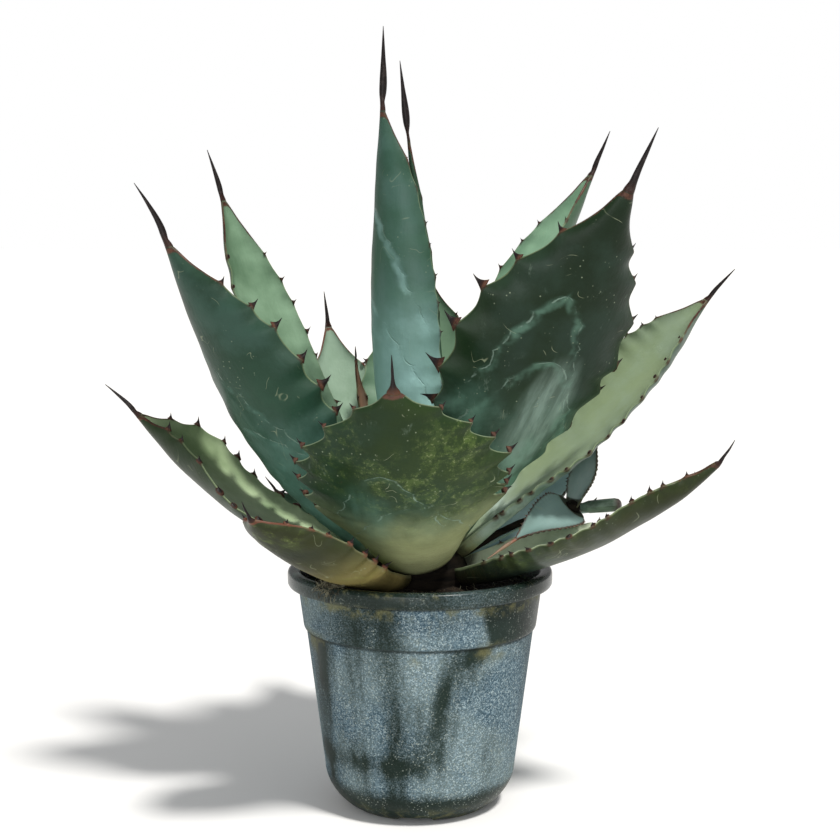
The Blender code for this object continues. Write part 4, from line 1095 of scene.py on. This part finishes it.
def fibreTree():
    tree = Tree("looseFibres")
    density = tree.input("Density", "Float", 4000.0)
    length = tree.input("Length", "Float", 11 * mm)
    girth = tree.input("Girth", "Float", 0.28 * mm)
    lift = tree.input("Lift", "Float", 0.5)
    seed = tree.input("Seed", "Int", 8)
    points = tree.scatter(density, seed)
    arc = tree.add("GeometryNodeCurveArc", {"mode": "RADIUS"}, {"Resolution": 7, "Radius": 0.7, "Sweep Angle": 1.5})
    arc = tree.add("GeometryNodeTransform", {}, {"Geometry": arc, "Translation": (-0.7, 0.0, 0.0)})
    ring = tree.add("GeometryNodeCurvePrimitiveCircle", {"mode": "RADIUS"}, {
        "Resolution": 4, "Radius": tree.maths("DIVIDE", girth, length)})
    strand = tree.add("GeometryNodeCurveToMesh", {}, {"Curve": arc, "Profile Curve": ring, "Fill Caps": True})
    turn = tree.anyVector(seed)
    flat = tree.add("ShaderNodeVectorMath", {"operation": "MULTIPLY"}, {
        0: turn, 1: tree.add("ShaderNodeCombineXYZ", {}, {0: lift, 1: lift, 2: 1.0})})
    size = tree.add("FunctionNodeRandomValue", {"data_type": "FLOAT"}, {2: 0.4, 3: 1.3, "Seed": 4}, 1)
    strands = tree.add("GeometryNodeInstanceOnPoints", {}, {
        "Points": points, "Instance": strand, "Rotation": flat, "Scale": tree.maths("MULTIPLY", size, length)})
    return tree.finish(strands)


def discMesh(name, innerRadius, outerRadius, height):
    heave, mound, rings, spokes = (soilSizes[key] for key in ("heave", "mound", "rings", "spokes"))
    points, faces = [], []
    for i in range(rings + 1):
        r = innerRadius + (outerRadius - innerRadius) * i / rings
        for k in range(spokes):
            a = 2 * math.pi * k / spokes
            spot = Vector((r * math.cos(a), r * math.sin(a), 0.0))
            lift = noise.noise(spot * 45) * heave + noise.noise(spot * 160) * heave * 0.5
            fade = 1 - smoothStep(0.93, 1.0, i / rings)
            heap = mound * float(1 - smoothStep(0.0, 0.45, i / rings))
            points.append((spot.x, spot.y, height + heap + lift * float(fade)))
    for i in range(rings):
        for k in range(spokes):
            a, b = i * spokes + k, i * spokes + (k + 1) % spokes
            faces.append((a, a + spokes, b + spokes, b))
    mesh = bpy.data.meshes.new(name)
    mesh.from_pydata(points, [], faces)
    return mesh


def buildSoil():
    low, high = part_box("soil_and_roots")
    s = soilSizes
    outer = (high.x - low.x) / 2
    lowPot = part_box("pot")[0].z + potSizes["footRise"] + potSizes["wall"]
    stemLow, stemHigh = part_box("stem")
    hole = (stemHigh.x - stemLow.x) / 2 - 1 * mm
    top = discMesh("soilTop", hole, outer - 1 * mm, high.z - 1.5 * mm)
    # the plug below the surface, closed
    points = [tuple(v.co) for v in top.vertices]
    faces = [tuple(f.vertices) for f in top.polygons]
    edge = s["rings"] * s["spokes"]
    footRing = len(points)
    for k in range(s["spokes"]):
        a = 2 * math.pi * k / s["spokes"]
        points.append((outer * 0.62 * math.cos(a), outer * 0.62 * math.sin(a), lowPot + 4 * mm))
    for k in range(s["spokes"]):
        n = (k + 1) % s["spokes"]
        faces.append((edge + k, footRing + k, footRing + n, edge + n))
        faces.append((k, n, footRing + n, footRing + k))
    plug = newBody("soilPlug", meshFrom("soilPlug", points, faces))
    plug.data.materials.append(soilLook())
    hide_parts("soil_and_roots")
    dryFibre = fibreLook()
    crumbs = grownMesh("soilCrumbs", top.copy(), looseTree(), {
        "Density": float(s["crumbs"]), "Crumb": s["crumb"], "Seed": s["crumbSeed"],
        "Finish": plug.data.materials[0]})
    fibres = grownMesh("soilFibres", top.copy(), fibreTree(), {
        "Density": float(s["fibres"]), "Length": s["fibreLength"], "Girth": s["fibreGirth"],
        "Lift": s["fibreLift"], "Seed": s["fibreSeed"], "Finish": dryFibre})
    # a clump of dead roots hanging over the rim
    spot = bpy.data.meshes.new("clumpPatch")
    bm = bmesh.new()
    bmesh.ops.create_icosphere(bm, subdivisions=2, radius=1.0)
    turn, rim = math.radians(s["clumpTurn"]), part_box("pot")[1]
    for v in bm.verts:
        out, side, lift = v.co.x * 0.55, v.co.y, v.co.z * 0.45
        out, side, lift = (part * s["clumpSize"] for part in (out, side, lift))
        out, lift = rim.x - 3 * mm + out, lift - 1 * mm
        v.co = (out * math.cos(turn) - side * math.sin(turn),
                out * math.sin(turn) + side * math.cos(turn), rim.z + lift)
    bm.to_mesh(spot)
    bm.free()
    clump = grownMesh("rimRoots", spot, fibreTree(), {
        "Density": float(s["clumpFibres"]), "Length": s["clumpLength"], "Girth": s["clumpGirth"],
        "Lift": s["clumpLift"], "Seed": s["clumpSeed"], "Finish": dryFibre})
    for piece in (plug, crumbs, fibres, clump):
        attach(piece, "root")
    print("soil", len(crumbs.data.polygons), len(fibres.data.polygons), len(clump.data.polygons))


# ---- the stem, the runner and the rolled leaf keep their own shapes

# painted shade: the bark's tones are taken down close to black, so that the stem reads as the dark under the leaves;
# the runner wears the same bark
barkAndShadeTones = {"dark": (0.0025, 0.002, 0.0015), "light": (0.012, 0.009, 0.006)}
rolledTones = {"dark": (0.030, 0.052, 0.035), "light": (0.10, 0.15, 0.11), "dry": (0.03, 0.02, 0.015)}


def barkLook():
    look = Look("stemBark")
    ridge = look.noise(look.stretch(look.here(), 1, 1, 5), 40, 4, 0.6)
    look.skin = look.blend(ridge.rise(0.35, 0.65), barkAndShadeTones["dark"], barkAndShadeTones["light"])
    return look.finish(ridge, 1.5 * mm, 0.8, Roughness=0.85, Specular_IOR_Level=0.1)


def rolledLook():
    look = Look("rolledLeafSkin")
    where = look.here()
    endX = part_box("offset_leaf_rolled")[1].x
    dry = where.parts()[0].rise(endX - 9 * mm, endX - 3 * mm)
    tone = look.noise(look.stretch(where, 0.3, 1, 1), 160, 3)
    look.skin = look.blend(tone.rise(0.35, 0.65), rolledTones["dark"], rolledTones["light"])
    look.coat(dry, rolledTones["dry"])
    return look.finish(tone, 0.5 * mm, 0.6, Roughness=0.5)


def dressKept():
    bark = barkLook()
    for node, material in (("stem", bark), ("offset_runner", bark), ("offset_leaf_rolled", rolledLook())):
        materials = cadNodes[node].data.materials
        materials.clear()
        materials.append(material)
    print("stem, runner and rolled leaf")


buildStage()
buildLeaves()
buildPot()
buildSoil()
dressKept()
